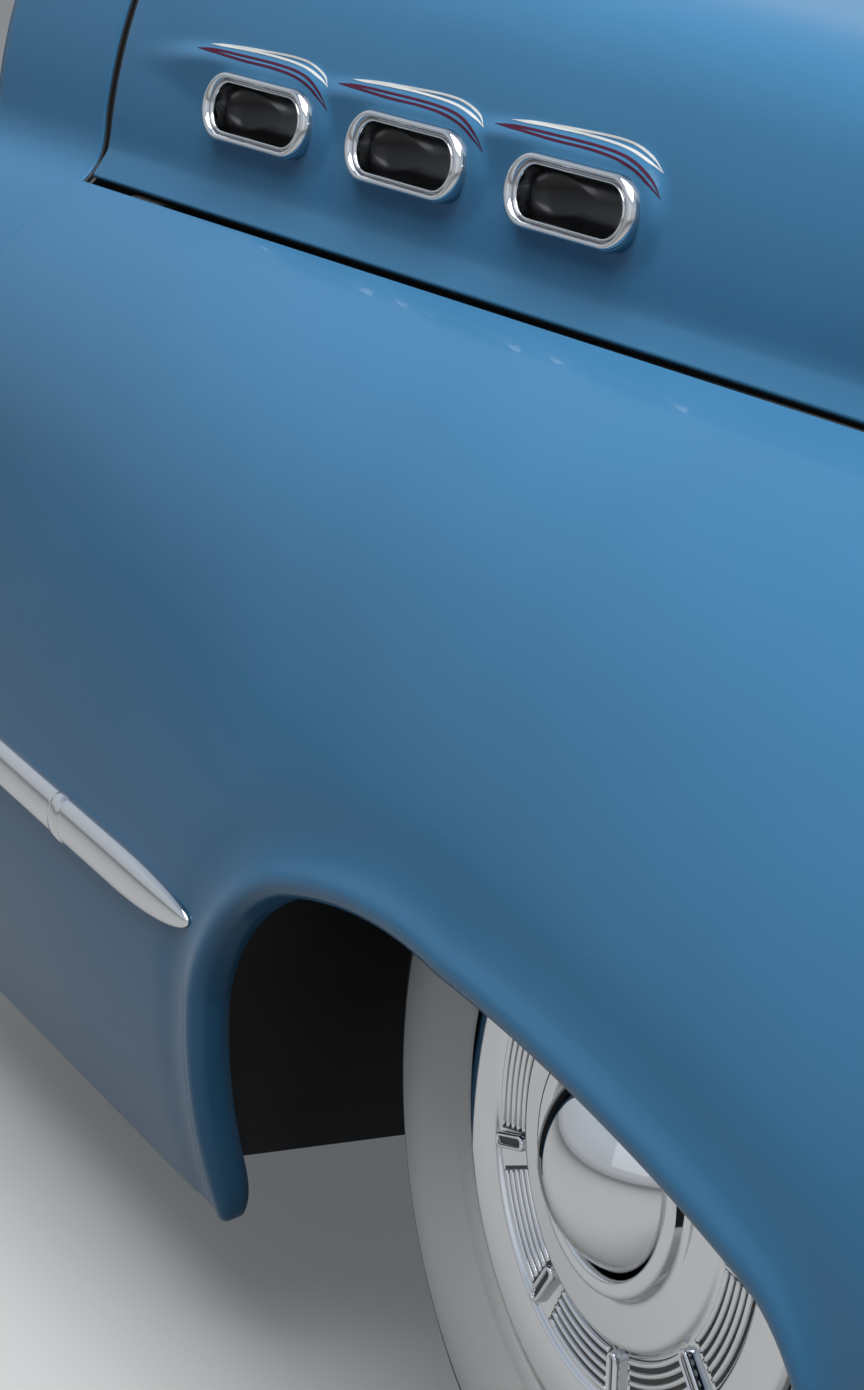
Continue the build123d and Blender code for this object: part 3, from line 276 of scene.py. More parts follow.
def mesh_object(name, points, faces, material, body, slot=None, outward=None):
    """Object from points in millimetres, smooth shaded, riding on a body.

    outward is the side its faces look to on the whole: they are turned about where they don't.
    """
    points = np.asarray(points, float).reshape(-1, 3)
    faces = [list(f) for f in faces]
    if outward is not None:
        corners = np.array([f[:4] for f in faces])
        across = points[corners[:, 2]] - points[corners[:, 0]]
        facing = np.cross(across, points[corners[:, 3]] - points[corners[:, 1]]).sum(0)
        if facing @ np.array(outward, float) < 0:
            faces = [f[::-1] for f in faces]
    mesh = bpy.data.meshes.new(name)
    mesh.from_pydata((points * MM).tolist(), [], faces)
    mesh.validate()
    mesh.materials.append(material)
    mesh.shade_smooth()
    obj = bpy.data.objects.new(name, mesh)
    bpy.context.scene.collection.objects.link(obj)
    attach(obj, body)
    return obj


def grid_object(name, grid, material, body, slot=None, outward=None, closed=False):
    faces = grid_faces(*grid.shape[:2], closed=closed)
    return mesh_object(name, grid, faces, material, body, slot, outward)


def capped(grid):
    """Quads of a closed grid, and one face over its last row."""
    rows, columns = grid.shape[:2]
    last = columns * (rows - 1)
    return grid_faces(rows, columns, closed=True).tolist() + [list(range(last, last + columns))]


def thicken(obj, thickness, offset=-1.0):
    solid = obj.modifiers.new("thickness", "SOLIDIFY")
    solid.thickness = thickness * MM
    solid.offset = offset


# Painted panels
def arch_line():
    """Wheel opening seen from the side, from its rear foot over the top to its front foot."""
    rear = [complex(-WELL_R + inside, z) for inside, z in ARCH_REAR]
    front = [complex(WELL_R - inside, z) for inside, z in ARCH_FRONT]
    return np.concatenate((
        arc_by_three(*rear[0:3]), arc_by_three(*rear[2:5]), arc_by_three(rear[4], rear[5], ARCH_TOP),
        arc_by_three(ARCH_TOP, front[5], front[4]), arc_by_three(front[4], front[3], front[2]),
        arc_by_three(front[2], front[1], front[0]), [front[0]]))


def lower_line(spacing=5.0):
    """The fender's whole lower edge seen from the side, and where the arch starts and ends in it."""
    arch = arch_line()
    low = np.array([column(FENDER_SECTIONS, "low_z", p.real) for p in arch])
    arch = arch[arch.imag > low]
    rear_x = np.arange(FENDER_REAR_X + JOINT_ROLL, arch[0].real, 10.0)
    front_x = np.arange(FENDER_NOSE_X - NOSE_ROLL, arch[-1].real, -10.0)[::-1]
    rear = [complex(x, column(FENDER_SECTIONS, "low_z", x)) for x in rear_x]
    front = [complex(x, column(FENDER_SECTIONS, "low_z", x)) for x in front_x]
    line = np.concatenate((rear, arch, front))
    length = np.abs(np.diff(line)).sum()
    line = eased(even(line, int(length / spacing)), 3)
    in_arch = np.abs(line[:, None] - arch[None]).min(1) < spacing / 2
    return line, in_arch, arch


# Radii of the rolled edges, and how far each runs on inward
NOSE_ROLL = 10.0
NOSE_DEPTH = 2.0
LOWER_ROLL = 6.0
LOWER_DEPTH = 8.0
SEAM_ROLL = 2.0
SEAM_DEPTH = 15.0
JOINT_ROLL = 1.2
JOINT_DEPTH = 9.0
HOOD_ROLL = 6.0
HOOD_DEPTH = 12.0
HOOD_EDGE_ROLL = 3.0
HOOD_SEAM_DEPTH = 10.0
HOOD_REAR_DEPTH = 4.0
CENTRE_ROLL = 2.0
CENTRE_DEPTH = 23.0
COWL_ROLL = 2.6
COWL_DEPTH = 6.0
COWL_FOOT_ROLL = 6.0
COWL_FOOT_DEPTH = 8.0

# Room that the cowl's edge leaves for the hinge arm: its place across the car, half width and depth there
HINGE_ARM_Y = -560.0
ARM_ROOM = 26.0
ARM_EDGE_DEPTH = 1.5
LEDGE_CLEAR = 3.0
COWL_STEP_SHARE = 0.035

# Ridge and hollow round the wheel opening: height, then middle and width as distances from it
BEADS = [(3.0, 12.0, 11.0), (-1.6, 46.0, 20.0)]

# The fender's rows, and how much they crowd toward the seam and the lower edge
FENDER_ROWS = 67
ROW_CROWD = 0.62
FENDER_TOP_SHARE = 0.005

# Where the fender's rows start on the seam for places along its lower edge: (x, z) below, x above
FAN = [
    (-1020, -232, -1018.8), (-410, -225, -640), (-388, -31, -470), (-289, 87, -330), (-60, 118, -60),
    (324, 81, 370), (408, -50, 490), (418, -215, 590), (770, -141, 770),
]


def shade_edge(name, grid, material, body, slot, outward):
    """Inward part of a rolled edge as a dark piece of its own: black as painted shade, standing in for the
    shade in the gap beside the edge.
    """
    gap_shade = grid_object(name, grid, material, body, slot, outward)
    thicken(gap_shade, SHEET)


def away_from(points, line):
    """Distance of points from a finely drawn line, without its steps."""
    nearest = np.abs(points[..., None] - line).argmin(-1)
    along = np.gradient(line)
    offset = (points - line[nearest]) * np.conj(along / np.abs(along))[nearest]
    past = np.clip(np.abs(offset.real) - np.abs(along)[nearest] / 2, 0, None)
    return np.hypot(past, offset.imag)


def make_fender(paint, dark):
    skin = Skin(fender_arcs, FENDER_REAR_X, FENDER_NOSE_X, 241, 8)
    front_x = FENDER_NOSE_X - NOSE_ROLL
    rear_x = FENDER_REAR_X + JOINT_ROLL
    line, in_arch, arch = lower_line()
    along = np.gradient(line)
    inward = along / np.abs(along) * 1j
    fender_roll = np.where(in_arch, ROLL_R, LOWER_ROLL)
    fender_roll = eased(fender_roll.astype(complex), 4).real
    edge = line + inward * fender_roll
    edge_x = np.clip(edge.real, rear_x, front_x)
    edge_share = skin.share_at(edge_x, edge.imag)
    reached = [int(np.argmin(np.abs(line - complex(x, z)))) for x, z, _ in FAN]
    top_x = np.interp(np.arange(len(line)), reached, [top for _, _, top in FAN])
    top_x = eased(top_x.astype(complex), 14).real
    top_x = np.clip(top_x, rear_x, front_x)
    t = np.linspace(0, 1, FENDER_ROWS)[:, None]
    v = t - ROW_CROWD * np.sin(2 * math.pi * t) / (2 * math.pi)
    x = top_x[None] * (1 - v) + edge_x[None] * v
    share = FENDER_TOP_SHARE * (1 - v) + edge_share[None] * v
    grid = skin.at(x, share)
    side_view = grid[..., 0] + 1j * grid[..., 2]
    away = away_from(side_view, arch[::3])
    bead = sum(height * np.exp(-((away - middle) / width) ** 2) for height, middle, width in BEADS)
    grid = grid + grid_normals(grid, (0, -1, 0)) * bead[..., None]
    depth = np.where(in_arch, LIP_DEPTH, LOWER_DEPTH)
    grid = rolled(grid, (0, -1, 0), fender_roll, eased(depth.astype(complex), 4).real)
    grid = rolled(grid[::-1], (0, -1, 0), SEAM_ROLL, SEAM_DEPTH)[::-1]
    # The fender's inward flange at the seam is split off in black: painted shade for the gap between fender
    # and hood.
    shade_edge("fender_seam_painted_shade", grid[:3], dark, "root", "black_enamel", (0, 1, 0))
    grid = grid[2:]
    grid = turned(rolled(turned(grid), (0, -1, 0), NOSE_ROLL, NOSE_DEPTH))
    grid = turned(rolled(turned(grid)[::-1], (0, -1, 0), JOINT_ROLL, JOINT_DEPTH)[::-1])
    obj = grid_object("fender_panel", grid, paint, "root", "blue_paint", (0, -1, 0))
    thicken(obj, SHEET)
    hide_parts("fender")
    return skin


# Ports in the hood's side, each on a plane of its own: along the car, up the side and out of it
PORT_COUNT = 3
PORT_REAR_X = -795.0
PORT_PITCH = 200.0
PORT_UP = 87.0
PORT_LEAN = math.radians(7.5)
BEZEL_LENGTH = 148.0
BEZEL_WIDTH = 56.0
OPENING_LENGTH = 120.0
OPENING_WIDTH = 38.0
BOSS_HEIGHT = 7.0
BOSS_MARGIN = 4.0
BOSS_FALL = 19.0
BOSS_TAIL = 75.0
BOSS_SOFT = 1.5
BOSS_REACH = 60.0
HOLE_LENGTH = 134.0
HOLE_WIDTH = 46.0


class Port:
    """One port's place and directions: a point of it is given by along, up and out."""

    def __init__(self, number):
        x = PORT_REAR_X + number * PORT_PITCH
        splay = math.atan(SEAM_SPLAY)
        height = PORT_UP - FLARE_UP
        y = seam_y(x) + FLARE_OUT + height * math.tan(PORT_LEAN) / 2 - BOSS_HEIGHT
        self.centre = np.array([x, y, seam_z(x) + PORT_UP])
        self.out = np.array([math.sin(splay) * math.cos(PORT_LEAN), -math.cos(splay) * math.cos(PORT_LEAN),
                             math.sin(PORT_LEAN)])
        along = np.array([math.cos(splay), math.sin(splay), SEAM_RISE])
        self.along = unit(along - self.out * (along @ self.out))
        self.up = np.cross(self.out, self.along)

    def local(self, points):
        away = points - self.centre
        return np.stack((away @ self.along, away @ self.up, away @ self.out), -1)

    def place(self, flat, out):
        """Points in space from complex along + up i, and a height out of the plane."""
        flat = np.asarray(flat)
        out = np.broadcast_to(out, flat.shape)
        in_plane = flat.real[..., None] * self.along + flat.imag[..., None] * self.up
        return self.centre + in_plane + out[..., None] * self.out


def slot_distance(flat, length, width):
    """Distance outside a slot with round ends, negative inside it."""
    reach = (length - width) / 2
    nearest = np.clip(flat.real, -reach, reach)
    return np.abs(flat - nearest) - width / 2


def slot_line(length, width, count=24):
    """Outline of a slot with slightly flattened round ends, count points to an end."""
    reach = (length - width) / 2
    turn = np.linspace(-math.pi / 2, math.pi / 2, count)
    end = width / 2 * (np.cos(turn) + 1j * np.sin(turn))
    bars = np.linspace(0, 1, 8)[1:-1]
    top = reach - 2 * reach * bars + 1j * width / 2
    return np.concatenate((reach + end, top, -reach - end, -top))


def raise_bosses(grid, ports):
    """The hood's side drawn out to each port's plane, steep before it and fading behind it."""
    for port in ports:
        local = port.local(grid)
        reach = (BEZEL_LENGTH - BEZEL_WIDTH) / 2
        behind = np.minimum(local[..., 0] + reach, 0)
        along = local[..., 0] - behind * (1 - BOSS_FALL / BOSS_TAIL)
        length = BEZEL_LENGTH + 2 * BOSS_MARGIN
        away = slot_distance(along + 1j * local[..., 1], length, BEZEL_WIDTH + 2 * BOSS_MARGIN)
        t = np.clip(1 - away / BOSS_FALL, 0, 1)
        side = np.clip(0.55 * local[..., 0] / BEZEL_LENGTH + 0.9 * local[..., 1] / BEZEL_WIDTH + 0.55, 0, 1)
        share = t * t * t * (10 - 15 * t + 6 * t * t) * side * side * (3 - 2 * side)
        under = -local[..., 2]
        soft = (under + np.sqrt(under * under + BOSS_SOFT ** 2)) / 2
        lift = np.where(np.abs(under) < BOSS_REACH, share * soft, 0)
        grid = grid + lift[..., None] * port.out
    return grid


# The hood's rows and columns: wide and fine steps, and where the fine ones start and end, round the ports
HOOD_COLUMNS = (14.0, 4.0, -935.0, -290.0)
HOOD_ROWS = (0.014, 0.0038, 0.03, 0.17)
OUTWARD = (0, -1, 0.3)


def spaced(start, end, wide, fine, fine_from, fine_to):
    """Places from start to end, finely spaced between two of them."""
    before = np.linspace(start, fine_from, max(int((fine_from - start) / wide), 1), endpoint=False)
    middle = np.linspace(fine_from, fine_to, int((fine_to - fine_from) / fine), endpoint=False)
    after = np.linspace(fine_to, end, max(int((end - fine_to) / wide), 1) + 1)
    return np.concatenate((before, middle, after))


def make_hood(paint, dark, ports):
    skin = Skin(hood_arcs, FENDER_REAR_X, HOOD_NOSE_X, 421, 5)
    x = spaced(FENDER_REAR_X + HOOD_EDGE_ROLL, HOOD_NOSE_X - HOOD_ROLL, *HOOD_COLUMNS)
    share = spaced(0.006, 0.998, *HOOD_ROWS)
    grid = skin.at(np.tile(x, (len(share), 1)), np.tile(share[:, None], (1, len(x))))
    grid = raise_bosses(grid, ports)
    grid = rolled(grid[::-1], OUTWARD, HOOD_EDGE_ROLL, HOOD_SEAM_DEPTH)
    # The hood's inward flange at the seam is split off in black: painted shade for the gap to the fender.
    shade_edge("hood_seam_painted_shade", grid[-3:], dark, "hood", "black_enamel", (0, 0, -1))
    grid = rolled(grid[:-2][::-1], OUTWARD, CENTRE_ROLL, CENTRE_DEPTH)[::-1]
    grid = turned(rolled(turned(grid), OUTWARD, HOOD_ROLL, HOOD_DEPTH))
    grid = turned(rolled(turned(grid)[::-1], OUTWARD, HOOD_EDGE_ROLL, HOOD_REAR_DEPTH))
    faces = grid_faces(*grid.shape[:2])
    middles = grid.reshape(-1, 3)[faces].mean(1)
    keep = np.ones(len(faces), bool)
    for port in ports:
        local = port.local(middles)
        inside = slot_distance(local[:, 0] + 1j * local[:, 1], HOLE_LENGTH, HOLE_WIDTH) < 0
        keep &= ~(inside & (np.abs(local[:, 2]) < BOSS_REACH))
    obj = mesh_object("hood_panel", grid, faces[keep], paint, "hood", "blue_paint", OUTWARD)
    thicken(obj, SHEET)
    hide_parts("hood")
    return grid


def cowl_arcs(x):
    """Section of the cowl: over the centre, down the side and on down the fender's line."""
    return np.concatenate((hood_arcs(x)[:-1][::-1], fender_arcs(x, 2.0)[4:]))


def make_cowl(paint, dark):
    skin = Skin(cowl_arcs, COWL_REAR_X, FENDER_REAR_X, 601, 5)
    share = np.linspace(0, 1, 170)
    seam_share = skin.share_at([FENDER_REAR_X], [SEAM_REAR_Z])[0]
    above = np.clip((seam_share - share) / COWL_STEP_SHARE, 0, 1)
    front = FENDER_REAR_X - COWL_ROLL - PANEL_JOINT - (COWL_GAP - PANEL_JOINT) * above ** 0.5
    t = np.linspace(0, 1, 22)
    x = COWL_REAR_X * (1 - t[None]) + front[:, None] * t[None]
    grid = skin.at(x, np.tile(share[:, None], (1, len(t))))
    grid = rolled(grid, OUTWARD, COWL_FOOT_ROLL, COWL_FOOT_DEPTH)
    by_arm = np.abs(grid[:, -1, 1] - HINGE_ARM_Y) < ARM_ROOM
    depth = np.where(by_arm, ARM_EDGE_DEPTH, COWL_DEPTH)
    grid = turned(rolled(turned(grid), OUTWARD, COWL_ROLL, depth))
    # The cowl's inward return, run forward by a ledge to near the hood's rear edge, is black: painted shade
    # that fills the cowl gap so it reads dark.
    ledge = grid[:, -1].copy()
    reached = (np.concatenate((above, np.zeros(len(ledge) - len(above)))) > 0) & ~by_arm
    ledge[reached, 0] = np.maximum(ledge[reached, 0], FENDER_REAR_X - LEDGE_CLEAR)
    gap_shade = np.concatenate((grid[:, -3:], ledge[:, None]), axis=1)
    shade_edge("cowl_seam_painted_shade", gap_shade, dark, "root", "black_enamel", (1, 0, 0))
    grid = grid[:, :-2]
    obj = grid_object("cowl_skin", grid, paint, "root", "blue_paint", OUTWARD)
    thicken(obj, SHEET)
    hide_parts("cowl_panel")


# Chrome bezels, black cups and painted lines of the ports
BEZEL_PROFILE = [  # share of the way from the outer edge to the opening, height over the boss
    (0.0, -11.0), (0.0, 2.6), (0.05, 4.8), (0.16, 6.8), (0.3, 8.0), (0.44, 8.0),
    (0.56, 7.0), (0.65, 5.0), (0.69, 2.6), (0.72, 1.6), (0.75, 1.6), (0.78, 3.4),
    (0.83, 5.2), (0.9, 5.3), (0.96, 4.4), (1.0, 2.6), (1.0, -8.0),
]
CUP_PROFILE = [  # share of the opening's size, depth
    (1.0, -1.0), (1.0, -7.0), (0.97, -12.0), (0.9, -17.0),
    (0.78, -21.0), (0.55, -24.5), (0.28, -26.0), (0.05, -26.5),
]
CUP_RIM = 1.02
CUP_WALL = 1.2


def make_bezels(ports, chrome, black):
    outer = slot_line(BEZEL_LENGTH, BEZEL_WIDTH)
    opening = slot_line(OPENING_LENGTH, OPENING_WIDTH)
    for number, port in enumerate(ports, 1):
        grid = np.array([port.place(outer * (1 - share) + opening * share, height)
                         for share, height in BEZEL_PROFILE])
        bezel = grid_object(f"port_rim_{number}", grid, chrome, "hood", "chrome", closed=True)
        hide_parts(f"port_bezel_{number}")
        grid = np.array([port.place(opening * CUP_RIM * share, depth) for share, depth in CUP_PROFILE])
        cup = mesh_object(f"port_well_{number}", grid, capped(grid), black, "hood", "black_plastic")
        thicken(cup, CUP_WALL)
        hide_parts(f"port_cup_{number}")


LINE_WIDTH = 1.8
LINE_PROUD = 0.35
LINE_START = 60.0
PINSTRIPES = [  # kind, then points along and up from a port's centre
    ("white", [(-97, 45), (-63, 47.5), (-20, 49.5), (22, 50.5),
               (47, 48.5), (67, 42.5), (80, 34.5)]),
    ("white", [(-97, 45), (-63, 46.5), (-45, 47), (-11, 47.5),
               (24, 46.5), (48, 44), (66, 39.5), (80, 34.5)]),
    ("maroon", [(-112, 39.5), (-83, 41.5), (-39, 42), (4, 42),
                (36, 40.5), (58, 36.5), (76, 27.5), (86, 17)]),
    ("maroon", [(-112, 39.5), (-83, 39.5), (-38, 38.5), (5, 38.5),
                (37.5, 36.5), (61, 31.5), (77, 23.5), (86, 17)]),
]


def smooth_line(points, count=60):
    """A smooth line through a few points (Catmull-Rom), evenly spaced."""
    p = np.array([complex(*q) for q in points])
    p = np.concatenate(([2 * p[0] - p[1]], p, [2 * p[-1] - p[-2]]))
    t = np.arange(20) / 20
    parts = []
    for a, b, c, d in zip(p, p[1:], p[2:], p[3:]):
        parts.append(0.5 * (2 * b + (c - a) * t + (2 * a - 5 * b + 4 * c - d) * t ** 2
                            + (3 * b - a - 3 * c + d) * t ** 3))
    return even(np.concatenate(parts + [p[-2:-1]]), count)


def make_pinstripes(ports, hood_grid, materials):
    """Thin painted ribbons laid on the hood's skin, tapered to their ends."""
    points = [Vector(p) for p in hood_grid.reshape(-1, 3)]
    tree = BVHTree.FromPolygons(points, [tuple(f) for f in grid_faces(*hood_grid.shape[:2]).tolist()])
    for number, port in enumerate(ports, 1):
        for kind in ("white", "maroon"):
            grids = []
            for name, line in PINSTRIPES:
                if name != kind:
                    continue
                middle = smooth_line(line)
                along = np.gradient(middle)
                t = np.linspace(0, 1, len(middle))
                half = LINE_WIDTH / 2 * np.clip(np.minimum(t * 9, (1 - t) * 9) + 0.12, 0, 1)
                side = along / np.abs(along) * 1j * half
                rows = []
                for flat in (middle - side, middle, middle + side):
                    row = []
                    for start in port.place(flat, 60.0):
                        hit, normal, _, _ = tree.ray_cast(Vector(start), Vector(-port.out))
                        normal = normal if normal.dot(Vector(port.out)) > 0 else -normal
                        row.append(hit + normal * LINE_PROUD)
                    rows.append(row)
                grids.append(np.array(rows))
            points_all = np.concatenate([g.reshape(-1, 3) for g in grids])
            faces = []
            start = 0
            for g in grids:
                faces += (grid_faces(*g.shape[:2]) + start).tolist()
                start += g.shape[0] * g.shape[1]
            mesh_object(f"pinstripe_{kind}_{number}", points_all, faces, materials[kind], "hood")


# Turned pieces of the wheel, as (across, radius) from its middle plane
WHEEL_Y = -750.0
BEAD_R = 194.0
TYRE_R = 345.0


def wheel_point(turn, r, across):
    """Point of the wheel at a turn from straight ahead, up positive, a radius and a place across."""
    return np.stack((r * np.cos(turn), WHEEL_Y + across + 0 * turn, r * np.sin(turn)), -1)


def turned_shape(profile, count):
    """Grid of a profile turned about the axle, a row for each of its points."""
    turn = np.linspace(0, 2 * math.pi, count, endpoint=False)
    return np.array([wheel_point(turn, r, across) for across, r in profile])


def rounded(profile, radius, steps=4):
    """An outline's points with each bend rounded, as far as its neighbours leave room."""
    p = [complex(*q) for q in profile]
    out = [p[0]]
    for a, b, c in zip(p, p[1:], p[2:]):
        room = min(radius, abs(b - a) * 0.45, abs(c - b) * 0.45)
        start = b + (a - b) / abs(a - b) * room
        end = b + (c - b) / abs(c - b) * room
        for t in np.linspace(0, 1, steps):
            out.append(start * (1 - t) ** 2 + 2 * b * t * (1 - t) + end * t ** 2)
    out.append(p[-1])
    return [(q.real, q.imag) for q in out]


# Wheel cover: profile from its rim inward, round ribs in a groove, and radial tabs between them
COVER_PROFILE = [
    (-84, 207.5), (-86, 207.5), (-95, 202), (-95, 166), (-91, 163), (-91, 124), (-98, 120), (-98, 88),
    (-109, 85), (-109, 73), (-98, 70.8),
]
COVER_BEND = 3.5
COVER_SHEET = 1.4
COVER_TURNS = 240
RIB_RADII = [129.0, 136.0, 143.0, 150.0, 157.0]
RIB_HALF = 2.3
RIB_HEIGHT = 3.6
RIB_SUNK = 0.4
RIB_TURNS = 26
RIB_BASE = -91.0
FLOOR_PROUD = 0.25
FLOOR_PAST = 0.8
GROOVE_LOW_R = 125.5
GROOVE_HIGH_R = 161.0
TAB_FIRST = -162.0
TAB_COUNT = 9
TAB_PITCH = 360.0 / TAB_COUNT
TAB_MIDDLE_R = 145.0
TAB_LENGTH = 38.0
TAB_WIDTH = 12.0
RIB_AFTER_TAB = 7.5
RIB_BEFORE_TAB = 3.5
TAB_PROFILE = [  # distance in from the outline, height over the cover
    (0.0, 0.0), (0.0, 3.2), (0.5, 4.8), (1.6, 5.8), (2.8, 5.8), (3.5, 4.9), (3.9, 3.0),
]


def joined(grids, faces):
    """Points and faces of several shapes as one."""
    start = 0
    out = []
    for grid, shape_faces in zip(grids, faces):
        out += [[start + i for i in f] for f in shape_faces]
        start += grid.reshape(-1, 3).shape[0]
    return np.concatenate([g.reshape(-1, 3) for g in grids]), out


def make_cover(chrome, black):
    """Ribbed wheel cover with its radial tabs, and the dark floor between its ribs."""
    grid = turned_shape(rounded(COVER_PROFILE, COVER_BEND), COVER_TURNS)
    cover = grid_object("cover_shell", grid, chrome, "wheel", "chrome", (0, -1, 0), closed=True)
    thicken(cover, COVER_SHEET)
    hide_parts("wheel_cover")
    grids, faces = [], []
    floors, floor_faces = [], []
    for number in range(TAB_COUNT):
        start = TAB_FIRST + number * TAB_PITCH + RIB_AFTER_TAB
        end = TAB_FIRST + number * TAB_PITCH + TAB_PITCH - RIB_BEFORE_TAB
        turn = np.radians(np.linspace(start, end, RIB_TURNS))
        for r in RIB_RADII:
            rows = []
            for bend in np.linspace(-math.pi / 2, math.pi / 2, 9):
                rise = RIB_HEIGHT * max(math.cos(bend), 0.0) ** 0.7
                rows.append(wheel_point(turn, r + RIB_HALF * math.sin(bend), RIB_BASE + RIB_SUNK - rise))
            rib = np.array(rows)
            index = np.arange(rib.shape[0] * rib.shape[1]).reshape(rib.shape[:2])
            ends = [index[:, 0].tolist(), index[::-1, -1].tolist()]
            grids.append(rib)
            faces.append(grid_faces(*rib.shape[:2]).tolist() + ends)
        edge = np.radians(np.linspace(start - FLOOR_PAST, end + FLOOR_PAST, RIB_TURNS))
        floor = [wheel_point(edge, r, RIB_BASE - FLOOR_PROUD) for r in (GROOVE_LOW_R, GROOVE_HIGH_R)]
        floors.append(np.array(floor))
        floor_faces.append(grid_faces(*floors[-1].shape[:2]).tolist())
    mesh_object("cover_ribs", *joined(grids, faces), chrome, "wheel", "chrome")
    grids, faces = [], []
    for number in range(TAB_COUNT):
        turn = math.radians(TAB_FIRST + number * TAB_PITCH)
        rows = []
        for inset, height in TAB_PROFILE:
            flat = slot_line(TAB_LENGTH - 2 * inset, TAB_WIDTH - 2 * inset, 9) + TAB_MIDDLE_R
            flat = flat * cmath.exp(1j * turn)
            across = np.full(len(flat), WHEEL_Y + RIB_BASE - height)
            rows.append(np.stack((flat.real, across, flat.imag), -1))
        grids.append(np.array(rows))
        faces.append(grid_faces(*grids[-1].shape[:2], closed=True).tolist())
        floors.append(rows[-1][None])
        floor_faces.append([list(range(len(rows[-1])))])
    mesh_object("cover_tabs", *joined(grids, faces), chrome, "wheel", "chrome")
    mesh_object("cover_dark_floor", *joined(floors, floor_faces), black, "wheel", "black_enamel")


DOME_R = 70.5
DOME_BASE = -102.0
DOME_TOP = -145.0
DOME_LIP = 3.0
DOME_RINGS = 16
DOME_TURNS = 192


def make_dome(chrome):
    height = DOME_BASE - DOME_TOP
    radius = (DOME_R ** 2 + height ** 2) / (2 * height)
    reach = math.asin(DOME_R / radius)
    profile = []
    for turn in np.linspace(reach, 0.004, DOME_RINGS):
        profile.append((DOME_TOP + radius * (1 - math.cos(turn)), radius * math.sin(turn)))
    grid = turned_shape([(DOME_BASE + DOME_LIP, DOME_R - 1.0)] + profile, DOME_TURNS)
    dome = mesh_object("cover_dome", grid, capped(grid), chrome, "wheel", "chrome", (0, -1, 0))
    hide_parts("hub_dome")


# Tyre: sidewall arcs with fine raised lines, tread with zigzag grooves and lugs, and the white band
BEAD_HALF = 69.6
TYRE_HALF = 103.0
SHOULDER_DROP = 15.0
TREAD_HALF = 60.0
CROWN_RISE = 3.0
GROOVES = (-39.0, -13.0, 13.0, 39.0)
GROOVE_HALF = 3.2
GROOVE_DEPTH = 7.0
ZIGZAGS = 60
ZIGZAG = 3.0
TYRE_TURNS = 480
LUG_DEPTH = 2.5
WALL_LINE_RADII = (306.0, 316.0)
WALL_LINE_HEIGHT = 0.9
WALL_LINE_WIDTH = 2.2
BAND_TURNS = 240
WHITE_LOW_R = 212.0
WHITE_HIGH_R = 292.0
WHITE_THICK = 2.5
WHITE_PROUD = 1.4


def wall_across(r):
    """How far the sidewall stands out from the tyre's middle plane at a radius."""
    half_height = (TYRE_R - SHOULDER_DROP - BEAD_R) / 2
    swell = TYRE_HALF - BEAD_HALF
    radius = (half_height ** 2 + swell ** 2) / (2 * swell)
    away = r - BEAD_R - half_height
    return TYRE_HALF - radius + math.sqrt(radius ** 2 - away ** 2)


def make_tyre(rubber, white):
    wall = [(-wall_across(r), r) for r in np.linspace(BEAD_R, TYRE_R - SHOULDER_DROP, 24)]
    fine = []
    for across, r in wall:
        lines = [math.exp(-((r - middle) / WALL_LINE_WIDTH) ** 2) for middle in WALL_LINE_RADII]
        fine.append((across - WALL_LINE_HEIGHT * sum(lines), r))
    shoulder = [(-TREAD_HALF - 6, TYRE_R - CROWN_RISE - 2.4), (-TREAD_HALF, TYRE_R - CROWN_RISE)]
    tread = []
    for groove in GROOVES:
        for place, deep in ((-1.3, 0), (-1, 0), (-0.6, 1), (0.6, 1), (1, 0), (1.3, 0)):
            across = groove + place * GROOVE_HALF
            crown = TYRE_R - CROWN_RISE * (across / TREAD_HALF) ** 2
            tread.append((across, crown - GROOVE_DEPTH * deep))
    left = fine + shoulder
    right = [(-across, r) for across, r in reversed(left)]
    profile = np.array(left + tread + right)
    turn = np.linspace(0, 2 * math.pi, TYRE_TURNS, endpoint=False)
    wave = np.abs((turn * ZIGZAGS / (2 * math.pi)) % 1 - 0.5) * 4 - 1
    in_tread = (np.abs(profile[:, 0]) < TREAD_HALF - 5).astype(float)
    across = profile[:, 0, None] + ZIGZAG * wave[None] * in_tread[:, None]
    radius = np.tile(profile[:, 1, None], (1, TYRE_TURNS))
    lug = ((turn * 2 * ZIGZAGS / (2 * math.pi)) % 1 < 0.25) * 1.0
    near_shoulder = (np.abs(profile[:, 0]) > TREAD_HALF - 2) & (profile[:, 1] > TYRE_R - SHOULDER_DROP - 1)
    radius -= LUG_DEPTH * lug[None] * near_shoulder[:, None]
    grid = wheel_point(turn, radius, across)
    tyre = grid_object("tyre_rubber", grid, rubber, "wheel", "tyre", closed=True)
    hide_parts("tyre")
    places = [(WHITE_LOW_R, -0.5), (WHITE_LOW_R + 0.3, 1.6), (WHITE_LOW_R + 2.2, WHITE_THICK),
              (WHITE_LOW_R + 7.0, WHITE_THICK), (WHITE_LOW_R + 9.0, WHITE_PROUD)]
    places += [(r, WHITE_PROUD) for r in np.linspace(WHITE_LOW_R + 11.0, WHITE_HIGH_R - 3.0, 14)]
    places += [(WHITE_HIGH_R - 1.0, 1.2), (WHITE_HIGH_R - 0.2, 0.6), (WHITE_HIGH_R, -0.5)]
    grid = turned_shape([(-wall_across(r) - proud, r) for r, proud in places], BAND_TURNS)
    band = grid_object("tyre_white_band", grid, white, "wheel", "white_rubber", (0, -1, 0), closed=True)
    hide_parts("whitewall")


